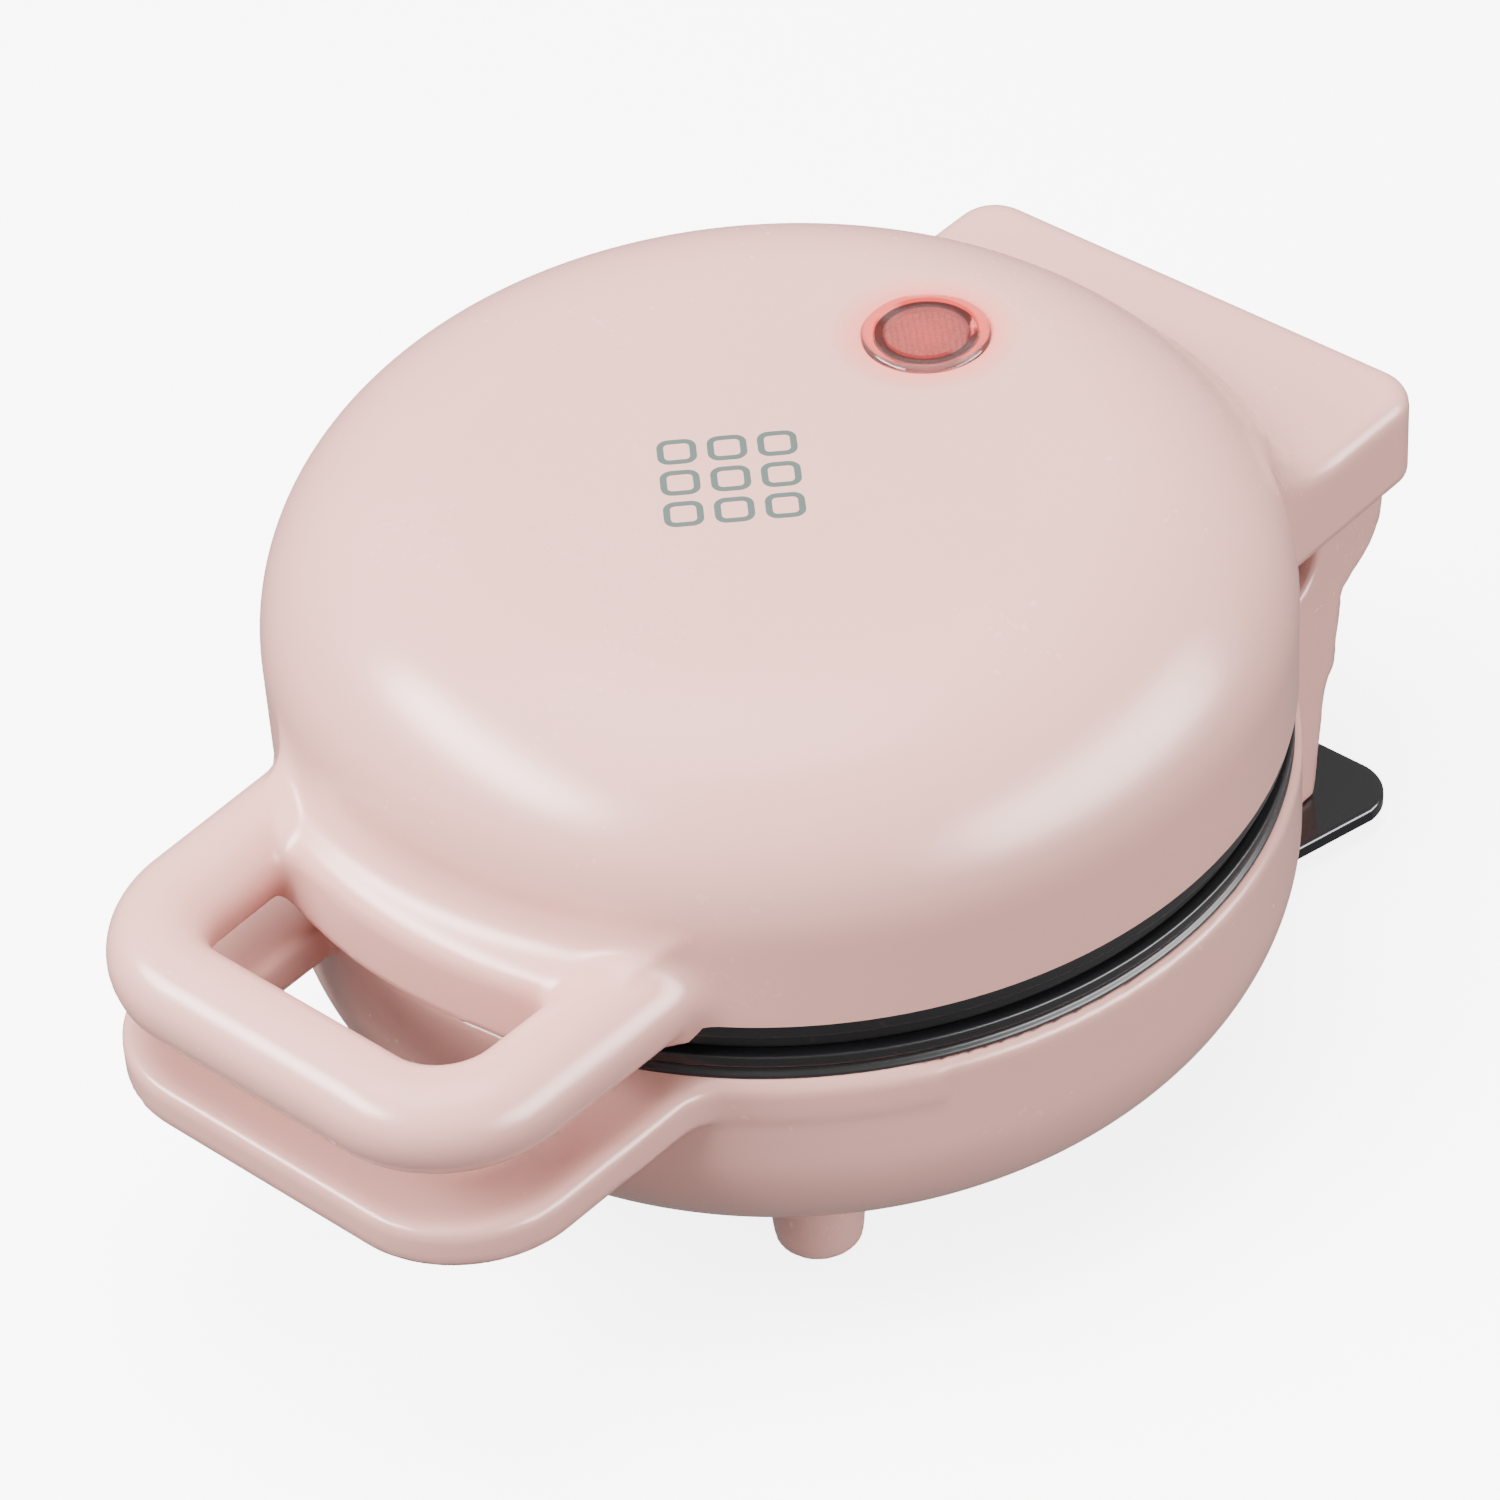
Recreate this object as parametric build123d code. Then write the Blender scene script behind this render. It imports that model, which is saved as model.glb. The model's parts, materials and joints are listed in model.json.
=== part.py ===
from build123d import *
from math import cos, hypot, radians, sin, tan
import os

# Compact round waffle maker: a bowl-shaped base on four feet and a domed lid on a rear hinge.
# Everything is built about the vertical axis of the round body, with z = 0 on the table, +Y
# towards the hinge and -Y towards the handles. export_node moves each piece so that the origin
# is the middle of the whole outline, on the table.

# ---- Driving dimensions, millimetres ----
LID_RADIUS = 65.0            # outside of the lid at its rim
BASE_OVERSIZE = 0.6          # how much wider the bowl is than the lid
WALL = 2.2                   # moulded wall of both housings
COVER_GAP = 0.15             # clearance round inserted covers and seats
TINY = 0.05                  # clearance of pieces that sit against each other

FOOT_HEIGHT = 6.0            # table to the underside of the bowl
BOWL_HEIGHT = 38.5           # underside of the bowl to its rim
BOWL_CURVE_RUN = 31.3        # horizontal reach of the bowl's rounded lower edge
BOWL_CURVE_RISE = 25.4       # height of that rounded edge
BAND_HEIGHT = 8.9            # black band between the two housings
LOWER_BAND = 3.9             # share of the band that lies below the parting plane
PARTING_GAP = 0.6            # gap between the two trim rings with the lid down
LID_HEIGHT = 36.2            # lid rim to the flat top
SHOULDER_RUN = 26.9          # horizontal reach of the lid's rounded shoulder
SHOULDER_RISE = 23.9         # height of that shoulder

SKIRT_DROP = 3.0             # how far the hinge block and the front apron hang below the lid rim
APRON_DEPTH = 5.6            # how far the apron stands out in front of the lid
APRON_TOP = 7.6              # lid rim to the top of the apron
APRON_EDGE = 3.0             # rounding of its top edge
LOOP_RADIUS = 6.3            # the lid handle's round bar
LOOP_LENGTH = 26.4           # lid's front to the centre line of the bar across the front
LOOP_HALF_WIDTH = 27.15      # body centre to the arms' centre lines at the front corners
LOOP_FLARE = 1.4             # degrees that each arm opens towards the body
LOOP_CORNER = 12.5           # bend radius of the bar's centre line
LOOP_RISE = 3.4              # lid rim up to the bar's centre line
LOOP_CHANNEL_WIDTH = 6.0     # hollow moulded up into the bar from below
LOOP_CHANNEL_DEPTH = 6.4
LOOP_COVER_THICKNESS = 1.6   # strip that closes the hollow
LOOP_COVER_RECESS = 0.2      # how far it is set up into the bar
COVER_SCREW_RADIUS = 1.05
COVER_HEAD_RADIUS = 2.05
COVER_HEAD = 0.85

HANDLE_SETBACK = 1.2         # base handle's front edge behind the loop's front
HANDLE_FLARE = 1.2           # degrees that its sides open towards the body
HANDLE_CORNER = 17.0
HANDLE_THICKNESS = 6.0
HANDLE_DROP = 0.3            # bowl rim down to the top of the base handle
HANDLE_EDGE = 1.6            # rounding of the base handle's outer edge
HANDLE_SKIN = 2.4            # top skin left over the hollow underside
HANDLE_ROOT = 40.0           # where the handle ends inside the bowl's wall, from the body axis
FINGER_HOLE_CORNER = 6.0

BLOCK_HALF_WIDTH = 36.9      # lid's hinge block
BLOCK_RISE = 10.6            # lid rim to the block's top
BLOCK_REACH = 14.8           # hinge axis to the block's rear face
BLOCK_WALL = 2.0
BLOCK_CORNER = 6.0           # its rear corners, seen from above
BLOCK_EDGE = 3.0             # its top edges
BLOCK_ROOT = 30.0            # where the block starts inside the dome, from the body axis
HINGE_OFFSET = 7.5           # rear of the lid to the hinge axis
HINGE_BELOW_PARTING = 1.0    # hinge axis below the parting plane
PILLAR_SIDE_GAP = 0.4        # pillar's ears inside the block's side walls
PILLAR_SETBACK = 1.1         # hinge axis to the pillar's rear face at its top
PILLAR_TAPER = 7.5           # degrees that the rear face leans in towards the bottom
PILLAR_BOTTOM = 5.4
PILLAR_DEPTH = 25.4          # front of the pillar's side walls to its rear face
EAR_RADIUS = 9.0             # rounded tops of the pillar's ears, round the hinge axis
BARREL_GAP = 0.5             # barrel between the ears to the lid's trim ring as it swings past
BARREL_WALL = 2.2
BARREL_OPEN = (-100, 110)    # degrees of the barrel that are walled, from +Y towards +Z
EAR_THICKNESS = 3.5          # pillar's outer hinge plates
EAR_FRONT = 5.8              # hinge axis to the front edge of each ear
EAR_SKIN = 0.8               # left outside the blind hole for the pin
RIB_THICKNESS = 3.4          # lid's hinge ribs
RIB_GAP = 0.5                # gap beside each rib
RIB_RADIUS = 5.5
PIN_RADIUS = 2.0
PIN_CLEARANCE = 0.05
PIN_HEAD_RADIUS = 3.2
PIN_HEAD_THICKNESS = 1.0
LEAD_GAP_START = 2.4         # slot in the barrel where the lid's leads leave the axis
LEAD_GAP_WIDTH = 11.2

FOOT_INSET = 19.1            # bowl's side to the centres of the feet
FOOT_ANGLE = 47.0            # degrees from the side-to-side line
FOOT_TOP_RADIUS = 6.4
FOOT_BOTTOM_RADIUS = 5.6
PAD_RADIUS = 4.0
PAD_THICKNESS = 1.6
PAD_PROUD = 0.6              # rubber pads stand this far out of the feet

CORD_PLATE_FLANGE = 7.8      # cord-wrap plate beyond the pillar's sides
CORD_PLATE_OVERHANG = 4.9    # and beyond the pillar's rear face at its top
CORD_PLATE_LENGTH = 32.3
CORD_PLATE_NARROWING = 6.3   # each side is this much nearer the middle at the front
CORD_PLATE_THICKNESS = 2.0
CORD_PLATE_CORNER = 6.5
CORD_SCREW_INSET = 9.5       # pillar's side to the screws' centres
CORD_SCREW_SETBACK = 12.4    # pillar's rear face to the screws' centres
GLAND_HEIGHT = 24.0          # cord gland above the table
GLAND_HOLE_RADIUS = 4.6      # hole in the pillar's rear wall
GLAND_BORE_RADIUS = 3.3      # what a mains lead goes through
GLAND_FLANGE_RADIUS = 6.4
GLAND_FLANGE = 1.6
GLAND_LENGTH = 9.0

BAKE_RADIUS = 50.0           # waffle field
BAKE_DEPTH = 8.5             # parting plane down to its floor
BAKE_FLOOR = 2.6
BAKE_WALL_LEAN = 1.2
PLATE_WALL = 2.4
SQUARE_PITCH = 14.0          # grid of the raised squares
SQUARE_BASE = 10.4
SQUARE_HEIGHT = 5.2
SQUARE_DRAFT = 13.0          # degrees
SQUARE_EDGE_GAP = 1.5        # squares are cut off round this far inside the field
SMALLEST_SQUARE = 60.0       # mm3; smaller cut-off pieces are left out
PLATE_FLANGE = 2.0
RING_INSET = 0.4             # black trim rings set in from the lid's side
RING_EDGE = 0.6
RING_SKIRT = 5.0             # how far a ring's skirt enters its housing
RING_SKIRT_GAP = 0.4
RING_SKIRT_WALL = 1.9
RING_SHELF_GAP = 2.4         # plate's wall to the shelf that carries its flange
POST_INSET = 4.0             # edge of the waffle field to the three screw posts
POST_RADIUS = 4.6
HEATER_INSET = 10.0          # screw posts' circle to the element's
HEATER_TUBE = 3.2
HEATER_OPENING = 24.0        # degrees left open at the rear, each side of +Y
REFLECTOR_SHEET = 0.8
REFLECTOR_DEPTH = 9.6        # plate's back to the reflector
REFLECTOR_LIP = 5.0
REFLECTOR_SPLAY = 1.2
STUD_OFFSET = 16.0           # reflector studs from the body axis
SCREW_RADIUS = 1.5
SCREW_CLEARANCE = 0.25
SCREW_HEAD_RADIUS = 2.8
COUNTERBORE_RADIUS = 3.3
COUNTERBORE_DEPTH = 14.0     # bowl's underside up to the post screws' seats

LENS_INSET = 7.8             # edge of the lid's flat top to the lens centre
LENS_FLANGE_RADIUS = 8.2
LENS_STEM_RADIUS = 6.6
LENS_SEAT = 0.7              # depth of the seat that its flange sits in
LENS_PROUD = 1.1
LENS_STEM = 8.5
LENS_SKIN = 1.3
FACET_DISC_RADIUS = 5.1
FACET_DISC_THICKNESS = 1.6
LAMP_RADIUS = 2.6

THERMOSTAT_X = 18.0
THERMOSTAT_RADIUS = 7.6
THERMOSTAT_HEIGHT = 6.5
TERMINAL_PITCH = 9.4
TERMINAL_DEPTH = 7.4
LEAD_RADIUS = 1.1
BUNDLE_RADIUS = 2.1
FUSE_RADIUS = 2.1

# ---- Places worked out from them ----
BASE_RADIUS = LID_RADIUS + BASE_OVERSIZE
HINGE_Y = LID_RADIUS + HINGE_OFFSET
HINGE_REACH = HINGE_Y + BLOCK_REACH
LOOP_REACH = LID_RADIUS + LOOP_LENGTH
FRONT_REACH = LOOP_REACH + LOOP_RADIUS
HANDLE_REACH = FRONT_REACH - HANDLE_SETBACK
HANDLE_HALF_WIDTH = LOOP_HALF_WIDTH + LOOP_RADIUS
FINGER_HOLE_HALF = LOOP_HALF_WIDTH - LOOP_RADIUS + 5 * COVER_GAP
FINGER_HOLE_FRONT = LOOP_REACH - LOOP_RADIUS
FINGER_HOLE_REAR = BASE_RADIUS + 1.4
AXIS_Y = (FRONT_REACH - HINGE_REACH) / 2
APRON_RADIUS = LID_RADIUS + APRON_DEPTH
PILLAR_HALF_WIDTH = BLOCK_HALF_WIDTH - BLOCK_WALL - PILLAR_SIDE_GAP
PILLAR_REACH = HINGE_Y - PILLAR_SETBACK
PILLAR_FRONT = PILLAR_REACH - PILLAR_DEPTH
BOWL_BOTTOM = FOOT_HEIGHT
BASE_RIM = BOWL_BOTTOM + BOWL_HEIGHT
PARTING = BASE_RIM + LOWER_BAND
LID_RIM = BASE_RIM + BAND_HEIGHT
LID_TOP = LID_RIM + LID_HEIGHT
SKIRT_Z = LID_RIM - SKIRT_DROP
HINGE_Z = PARTING - HINGE_BELOW_PARTING
PILLAR_TOP = HINGE_Z - EAR_RADIUS
HANDLE_TOP = BASE_RIM - HANDLE_DROP
LOOP_Z = LID_RIM + LOOP_RISE
LOOP_BOTTOM = LOOP_Z - LOOP_RADIUS
PLATE_TOP = PARTING - PARTING_GAP / 2
PLATE_BACK = PARTING - BAKE_DEPTH - BAKE_FLOOR
HEATER_Z = PLATE_BACK - HEATER_TUBE - 2 * TINY
REFLECTOR_Z = PLATE_BACK - REFLECTOR_DEPTH
RING_RADIUS = LID_RADIUS - RING_INSET
BARREL_RADIUS = HINGE_Y - RING_RADIUS - BARREL_GAP
BARREL_BOTTOM = HINGE_Z - BARREL_RADIUS
RING_SKIRT_RADIUS = LID_RADIUS - WALL - RING_SKIRT_GAP
RING_LAND = RING_SKIRT_RADIUS - RING_SKIRT_WALL
RING_SHELF_RADIUS = BAKE_RADIUS + PLATE_WALL + RING_SHELF_GAP
PLATE_FLANGE_RADIUS = RING_LAND - 2 * COVER_GAP
POST_CIRCLE = BAKE_RADIUS - POST_INSET
HEATER_CIRCLE = POST_CIRCLE - HEATER_INSET
REFLECTOR_RADIUS = HEATER_CIRCLE + HEATER_TUBE + 2 * COVER_GAP
POST_SEAT = BOWL_BOTTOM + COUNTERBORE_DEPTH
EAR_INNER = PILLAR_HALF_WIDTH - EAR_THICKNESS
RIB_OUTER = EAR_INNER - RIB_GAP
RIB_INNER = RIB_OUTER - RIB_THICKNESS
BARREL_END = RIB_INNER - RIB_GAP - COVER_GAP
LEAD_GAP_END = LEAD_GAP_START + LEAD_GAP_WIDTH
FOOT_CIRCLE = BASE_RADIUS - FOOT_INSET
CORD_PLATE_HALF_WIDTH = PILLAR_HALF_WIDTH + CORD_PLATE_FLANGE
CORD_PLATE_REACH = PILLAR_REACH + CORD_PLATE_OVERHANG
CORD_SCREW_X = PILLAR_HALF_WIDTH - CORD_SCREW_INSET
CORD_SCREW_Y = PILLAR_REACH - CORD_SCREW_SETBACK
GLAND_FACE = PILLAR_REACH - (PILLAR_TOP - GLAND_HEIGHT) * tan(radians(PILLAR_TAPER))
TERMINAL_Y = LID_RADIUS - 8.7
TERMINAL_Z = BOWL_BOTTOM + 17.0
LENS_Y = LID_RADIUS - SHOULDER_RUN - LENS_INSET
LENS_TOP = LID_TOP + LENS_PROUD
FAR = 3 * FRONT_REACH        # larger than the object, for trimming


def export_node(name, shape):
    """Move one piece into the part's frame and write it."""
    placed = Pos(0, AXIS_Y, 0) * shape
    placed.label = name
    export_step(placed, f"parts/{name}.step")


def box(x_low, x_high, y_low, y_high, z_low, z_high):
    """Box between two corners."""
    centre = Pos((x_low + x_high) / 2, (y_low + y_high) / 2, (z_low + z_high) / 2)
    return centre * Box(x_high - x_low, y_high - y_low, z_high - z_low)


def cylinder(radius, z_low, z_high, x=0.0, y=0.0):
    """Upright cylinder."""
    return Pos(x, y, (z_low + z_high) / 2) * Cylinder(radius, z_high - z_low)


def cross_cylinder(radius, x_low, x_high, y, z):
    """Cylinder along X."""
    return Pos((x_low + x_high) / 2, y, z) * Rot(0, 90, 0) * Cylinder(radius, x_high - x_low)


def along_y(radius, y_low, y_high, x, z):
    """Cylinder along Y."""
    return Pos(x, (y_low + y_high) / 2, z) * Rot(90, 0, 0) * Cylinder(radius, y_high - y_low)


def turned(points):
    """Solid of revolution about the body axis from (radius, height) corners."""
    outline = Polyline(*points, close=True)
    return revolve(Plane.XZ * make_face(outline), Axis.Z)


def polar(circle, angle):
    """Point on a circle about the body axis, angle in degrees from +X."""
    return circle * cos(radians(angle)), circle * sin(radians(angle))


def group(solids):
    """Several separate solids kept in one node."""
    return Compound(children=list(solids))


def bowl_solid(radius, run, rise, bottom, top):
    """Solid bowl: straight side, then a quarter ellipse down to a flat bottom."""
    bend = bottom + rise
    edge = Line((0, bottom), (radius - run, bottom))
    curve = EllipticalCenterArc((radius - run, bend), run, rise, -90, arc_size=90)
    rest = Polyline((radius, bend), (radius, top), (0, top), (0, bottom))
    return revolve(Plane.XZ * make_face(edge + curve + rest), Axis.Z)


def dome_solid(radius, run, rise, bottom, top):
    """Solid dome: straight side, then a quarter ellipse up to a flat top."""
    bend = top - rise
    rest = Polyline((0, top), (0, bottom), (radius, bottom), (radius, bend))
    curve = EllipticalCenterArc((radius - run, bend), run, rise, 0, arc_size=90)
    roof = Line((radius - run, top), (0, top))
    return revolve(Plane.XZ * make_face(rest + curve + roof), Axis.Z)


def outer_bowl():
    """Outside of the bowl, filled."""
    return bowl_solid(BASE_RADIUS, BOWL_CURVE_RUN, BOWL_CURVE_RISE, BOWL_BOTTOM, BASE_RIM)


def bowl_cavity():
    """Inside of the bowl."""
    return bowl_solid(BASE_RADIUS - WALL, BOWL_CURVE_RUN - WALL, BOWL_CURVE_RISE - WALL,
                      BOWL_BOTTOM + WALL, BASE_RIM + 1)


def outer_dome():
    """Outside of the lid's dome, filled."""
    return dome_solid(LID_RADIUS, SHOULDER_RUN, SHOULDER_RISE, LID_RIM, LID_TOP)


def dome_cavity():
    """Inside of the lid's dome."""
    return dome_solid(LID_RADIUS - WALL, SHOULDER_RUN - WALL, SHOULDER_RISE - WALL,
                      LID_RIM - 1, LID_TOP - WALL)


def tapered_outline(half_width, reach, corner, flare, rear):
    """Handle outline seen from above: rounded front corners, sides that open towards the body."""
    wide = half_width + (reach - corner - rear) * tan(radians(flare))
    corners = Polyline((-wide, -rear), (-half_width, -reach), (half_width, -reach),
                       (wide, -rear), close=True)
    face = make_face(corners)
    front = face.vertices().filter_by(lambda v: v.Y < -reach + 1)
    return fillet(front, corner)


# ---- Base ----

def base_handle():
    """Flat handle plate with its finger hole, hollow underneath between ribs."""
    outline = tapered_outline(HANDLE_HALF_WIDTH, HANDLE_REACH, HANDLE_CORNER, HANDLE_FLARE,
                              HANDLE_ROOT)
    bottom = HANDLE_TOP - HANDLE_THICKNESS
    plate = Pos(0, 0, bottom) * extrude(outline, HANDLE_THICKNESS)
    front = plate.edges().filter_by(lambda e: e.center().Y < -HANDLE_ROOT - 1)
    plate = fillet(front.group_by(Axis.Z)[-1],
                   HANDLE_EDGE)
    hollow = offset(outline, -WALL)
    plate -= Pos(0, 0, bottom - 1) * extrude(hollow, HANDLE_THICKNESS - HANDLE_SKIN + 1)
    rib_half = FINGER_HOLE_HALF + WALL
    rib = box(-rib_half, rib_half, -FINGER_HOLE_FRONT - WALL, -HANDLE_ROOT, bottom,
              HANDLE_TOP - TINY)
    plate += rib & (Pos(0, 0, bottom) * extrude(outline, HANDLE_THICKNESS - HANDLE_EDGE))
    for x in (-1, 1):
        for y in (0.2, 0.6):
            y_mid = -FINGER_HOLE_FRONT + y * (FINGER_HOLE_FRONT - FINGER_HOLE_REAR)
            plate += box(min(x * rib_half, x * (HANDLE_HALF_WIDTH - 1)),
                         max(x * rib_half, x * (HANDLE_HALF_WIDTH - 1)),
                         y_mid - WALL / 3, y_mid + WALL / 3, bottom, HANDLE_TOP - HANDLE_SKIN)
    hole = RectangleRounded(2 * FINGER_HOLE_HALF, FINGER_HOLE_FRONT - FINGER_HOLE_REAR,
                            FINGER_HOLE_CORNER)
    middle = -(FINGER_HOLE_FRONT + FINGER_HOLE_REAR) / 2
    plate -= Pos(0, middle, bottom - 1) * extrude(hole, HANDLE_THICKNESS + 2)
    return plate


def pillar_side(inset):
    """Side view of the pillar in the YZ plane, with its leaning rear face, as a face."""
    low = PILLAR_BOTTOM - (1 if inset else 0)
    lean = (PILLAR_TOP - low) * tan(radians(PILLAR_TAPER))
    rear = PILLAR_REACH - inset
    points = ((PILLAR_FRONT, low), (rear - lean, low), (rear, PILLAR_TOP), (rear, PILLAR_TOP + 2),
              (PILLAR_FRONT, PILLAR_TOP + 2))
    return make_face(Polyline(*points, close=True))


def pillar_block(inset):
    """Pillar as a solid block, or its hollow when inset is the wall thickness."""
    half = PILLAR_HALF_WIDTH - inset
    return Pos(-half, 0, 0) * extrude(Plane.YZ * pillar_side(inset), 2 * half)


def barrel_sector(radius, start, end):
    """Pie slice about the hinge axis; angles in degrees from +Y towards +Z."""
    steps = 6
    angles = [start + (end - start) * i / steps for i in range(steps + 1)]
    rim = [(HINGE_Y + radius * cos(radians(a)), HINGE_Z + radius * sin(radians(a)))
           for a in angles]
    return make_face(Polyline((HINGE_Y, HINGE_Z), *rim, close=True))


def hinge_barrel():
    """Rounded top of the pillar that the lid's block turns over, open where the leads pass."""
    keep = barrel_sector(4 * BARREL_RADIUS, *BARREL_OPEN)
    spans = ((-BARREL_END, LEAD_GAP_START), (LEAD_GAP_END, BARREL_END))
    pieces = []
    for low, high in spans:
        tube = cross_cylinder(BARREL_RADIUS, low, high, HINGE_Y, HINGE_Z)
        tube -= cross_cylinder(BARREL_RADIUS - BARREL_WALL, low - 1, high + 1, HINGE_Y, HINGE_Z)
        wedge = Pos(low - 1, 0, 0) * extrude(Plane.YZ * keep, high - low + 2)
        pieces.append(tube & wedge)
    return pieces


def hinge_ear(side):
    """One outer hinge plate of the pillar, with the hole for its pin."""
    x_low, x_high = sorted((side * EAR_INNER, side * PILLAR_HALF_WIDTH))
    ear = cross_cylinder(EAR_RADIUS, x_low, x_high, HINGE_Y, HINGE_Z)
    neck = box(x_low, x_high, HINGE_Y - EAR_FRONT, PILLAR_REACH, PILLAR_TOP - 4, HINGE_Z)
    front = box(x_low - 1, x_high + 1, 0, HINGE_Y - EAR_FRONT, PILLAR_TOP + 4, FAR)
    ear = (ear + neck) - front
    hole_start, hole_end = sorted((side * (EAR_INNER - 1), side * (PILLAR_HALF_WIDTH - EAR_SKIN)))
    return ear - cross_cylinder(PIN_RADIUS + PIN_CLEARANCE, hole_start, hole_end,
                                HINGE_Y, HINGE_Z)


def pillar():
    """Hollow rear pillar with its ears, barrel, cord-plate bosses and cord hole."""
    body = pillar_block(0) - pillar_block(WALL)
    for side in (-1, 1):
        body += hinge_ear(side)
        body += cylinder(3.6, PILLAR_BOTTOM, PILLAR_BOTTOM + 16, side * CORD_SCREW_X, CORD_SCREW_Y)
        body -= cylinder(SCREW_RADIUS, PILLAR_BOTTOM - 1, PILLAR_BOTTOM + 14,
                         side * CORD_SCREW_X, CORD_SCREW_Y)
    for piece in hinge_barrel():
        body += piece
    body += box(-PILLAR_HALF_WIDTH, PILLAR_HALF_WIDTH, PILLAR_REACH - WALL, PILLAR_REACH,
                PILLAR_TOP - 2, BARREL_BOTTOM + BARREL_WALL / 2)
    gaps = ((-EAR_INNER, -BARREL_END), (LEAD_GAP_START, LEAD_GAP_END), (BARREL_END, EAR_INNER))
    for low, high in gaps:
        body -= box(low, high, HINGE_Y - EAR_FRONT - 2, FAR, PILLAR_TOP - 0.6, FAR)
    return body - along_y(GLAND_HOLE_RADIUS, GLAND_FACE - 3 * WALL, GLAND_FACE + 2 * WALL, 0,
                          GLAND_HEIGHT)


def foot_places():
    """Centres of the four feet."""
    x, y = polar(FOOT_CIRCLE, FOOT_ANGLE)
    return [(sx * x, sy * y) for sx in (-1, 1) for sy in (-1, 1)]


def post_places():
    """Centres of the three screw posts."""
    return [polar(POST_CIRCLE, angle) for angle in (-90, 30, 150)]


def base_housing():
    """Bowl, handle plate, pillar, feet and screw posts, moulded in one."""
    body = outer_bowl() + pillar() + base_handle()
    foot_height = BOWL_BOTTOM - PAD_PROUD + 4
    for x, y in foot_places():
        foot = Cone(FOOT_BOTTOM_RADIUS, FOOT_TOP_RADIUS, foot_height)
        body += Pos(x, y, PAD_PROUD + foot_height / 2) * foot
    body -= bowl_cavity()
    body -= pillar_window()
    for x, y in post_places():
        body += cylinder(POST_RADIUS, BOWL_BOTTOM + 1, PLATE_BACK - 4.2, x, y) & outer_bowl()
        body -= cylinder(SCREW_RADIUS + SCREW_CLEARANCE, 0, PARTING, x, y)
        body -= cylinder(COUNTERBORE_RADIUS, 0, POST_SEAT, x, y)
    for x, y in foot_places():
        body -= cylinder(PAD_RADIUS, 0, PAD_THICKNESS, x, y)
    return body


def pillar_window():
    """Opening between the bowl's inside and the pillar for the leads."""
    return box(-20, 20, PILLAR_FRONT, BASE_RADIUS + 0.4, BOWL_BOTTOM + 8, BASE_RIM - 14)


def foot_pads():
    """Four rubber pads pressed into the feet."""
    return group(cylinder(PAD_RADIUS - TINY, 0, PAD_THICKNESS - TINY, x, y)
                 for x, y in foot_places())


def cord_wrap_plate():
    """Flange under the pillar that keeps a wound-up lead in place."""
    front = CORD_PLATE_REACH - CORD_PLATE_LENGTH
    shoulder = CORD_PLATE_REACH - CORD_PLATE_CORNER - 0.5
    half = CORD_PLATE_HALF_WIDTH
    points = ((-half + CORD_PLATE_NARROWING, front), (half - CORD_PLATE_NARROWING, front),
              (half, shoulder), (half, CORD_PLATE_REACH), (-half, CORD_PLATE_REACH),
              (-half, shoulder))
    face = make_face(Polyline(*points, close=True))
    rear = face.vertices().filter_by(lambda v: v.Y > CORD_PLATE_REACH - 1)
    face = fillet(rear, CORD_PLATE_CORNER)
    near = face.vertices().filter_by(lambda v: v.Y < front + 1)
    face = fillet(near, CORD_PLATE_CORNER / 2)
    top = PILLAR_BOTTOM - TINY
    plate = Pos(0, 0, top - CORD_PLATE_THICKNESS) * extrude(face, CORD_PLATE_THICKNESS)
    plate = fillet(plate.edges().group_by(Axis.Z)[-1], CORD_PLATE_THICKNESS / 3)
    for side in (-1, 1):
        plate -= cylinder(SCREW_RADIUS + SCREW_CLEARANCE, 0, top + 1, side * CORD_SCREW_X,
                          CORD_SCREW_Y)
    return plate


def screw_up(x, y, head_top, length, head_height):
    """Pan-head screw pointing up, with a cross slot in its head."""
    screw = cylinder(SCREW_RADIUS - TINY, head_top - TINY, head_top + length, x, y)
    head = cylinder(SCREW_HEAD_RADIUS, head_top - head_height, head_top, x, y)
    slot_z = head_top - head_height
    slot = 0.6 * SCREW_HEAD_RADIUS
    for arm_x, arm_y in ((slot, slot / 4), (slot / 4, slot)):
        head -= box(x - arm_x, x + arm_x, y - arm_y, y + arm_y, slot_z - 1, slot_z + 0.7)
    return screw + head


def cord_plate_screws():
    """Two screws that hold the cord-wrap plate."""
    top = PILLAR_BOTTOM - CORD_PLATE_THICKNESS - 2 * TINY
    return group(screw_up(side * CORD_SCREW_X, CORD_SCREW_Y, top, 12, 1.8)
                 for side in (-1, 1))


def base_post_screws():
    """Three long screws through the bowl's posts into the lower plate."""
    seat = POST_SEAT - TINY
    return group(screw_up(x, y, seat, PLATE_BACK - seat + 0.6, 2.0) for x, y in post_places())


def cord_gland():
    """Flanged bush in the pillar's rear wall that a mains lead goes through."""
    flange_drop = GLAND_FLANGE_RADIUS * tan(radians(PILLAR_TAPER))
    start = GLAND_FACE - WALL - flange_drop - GLAND_FLANGE
    bush = along_y(GLAND_HOLE_RADIUS - TINY, start, start + GLAND_LENGTH, 0, GLAND_HEIGHT)
    bush += along_y(GLAND_FLANGE_RADIUS, start, start + GLAND_FLANGE, 0, GLAND_HEIGHT)
    return bush - along_y(GLAND_BORE_RADIUS, start - 1, start + GLAND_LENGTH + 1, 0, GLAND_HEIGHT)


# ---- Plates, rings and heaters: built for the base, mirrored for the lid ----

def to_lid(shape):
    """Mirror a base-side piece over the parting plane."""
    return mirror(shape, about=Plane.XY.offset(PARTING))


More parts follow.
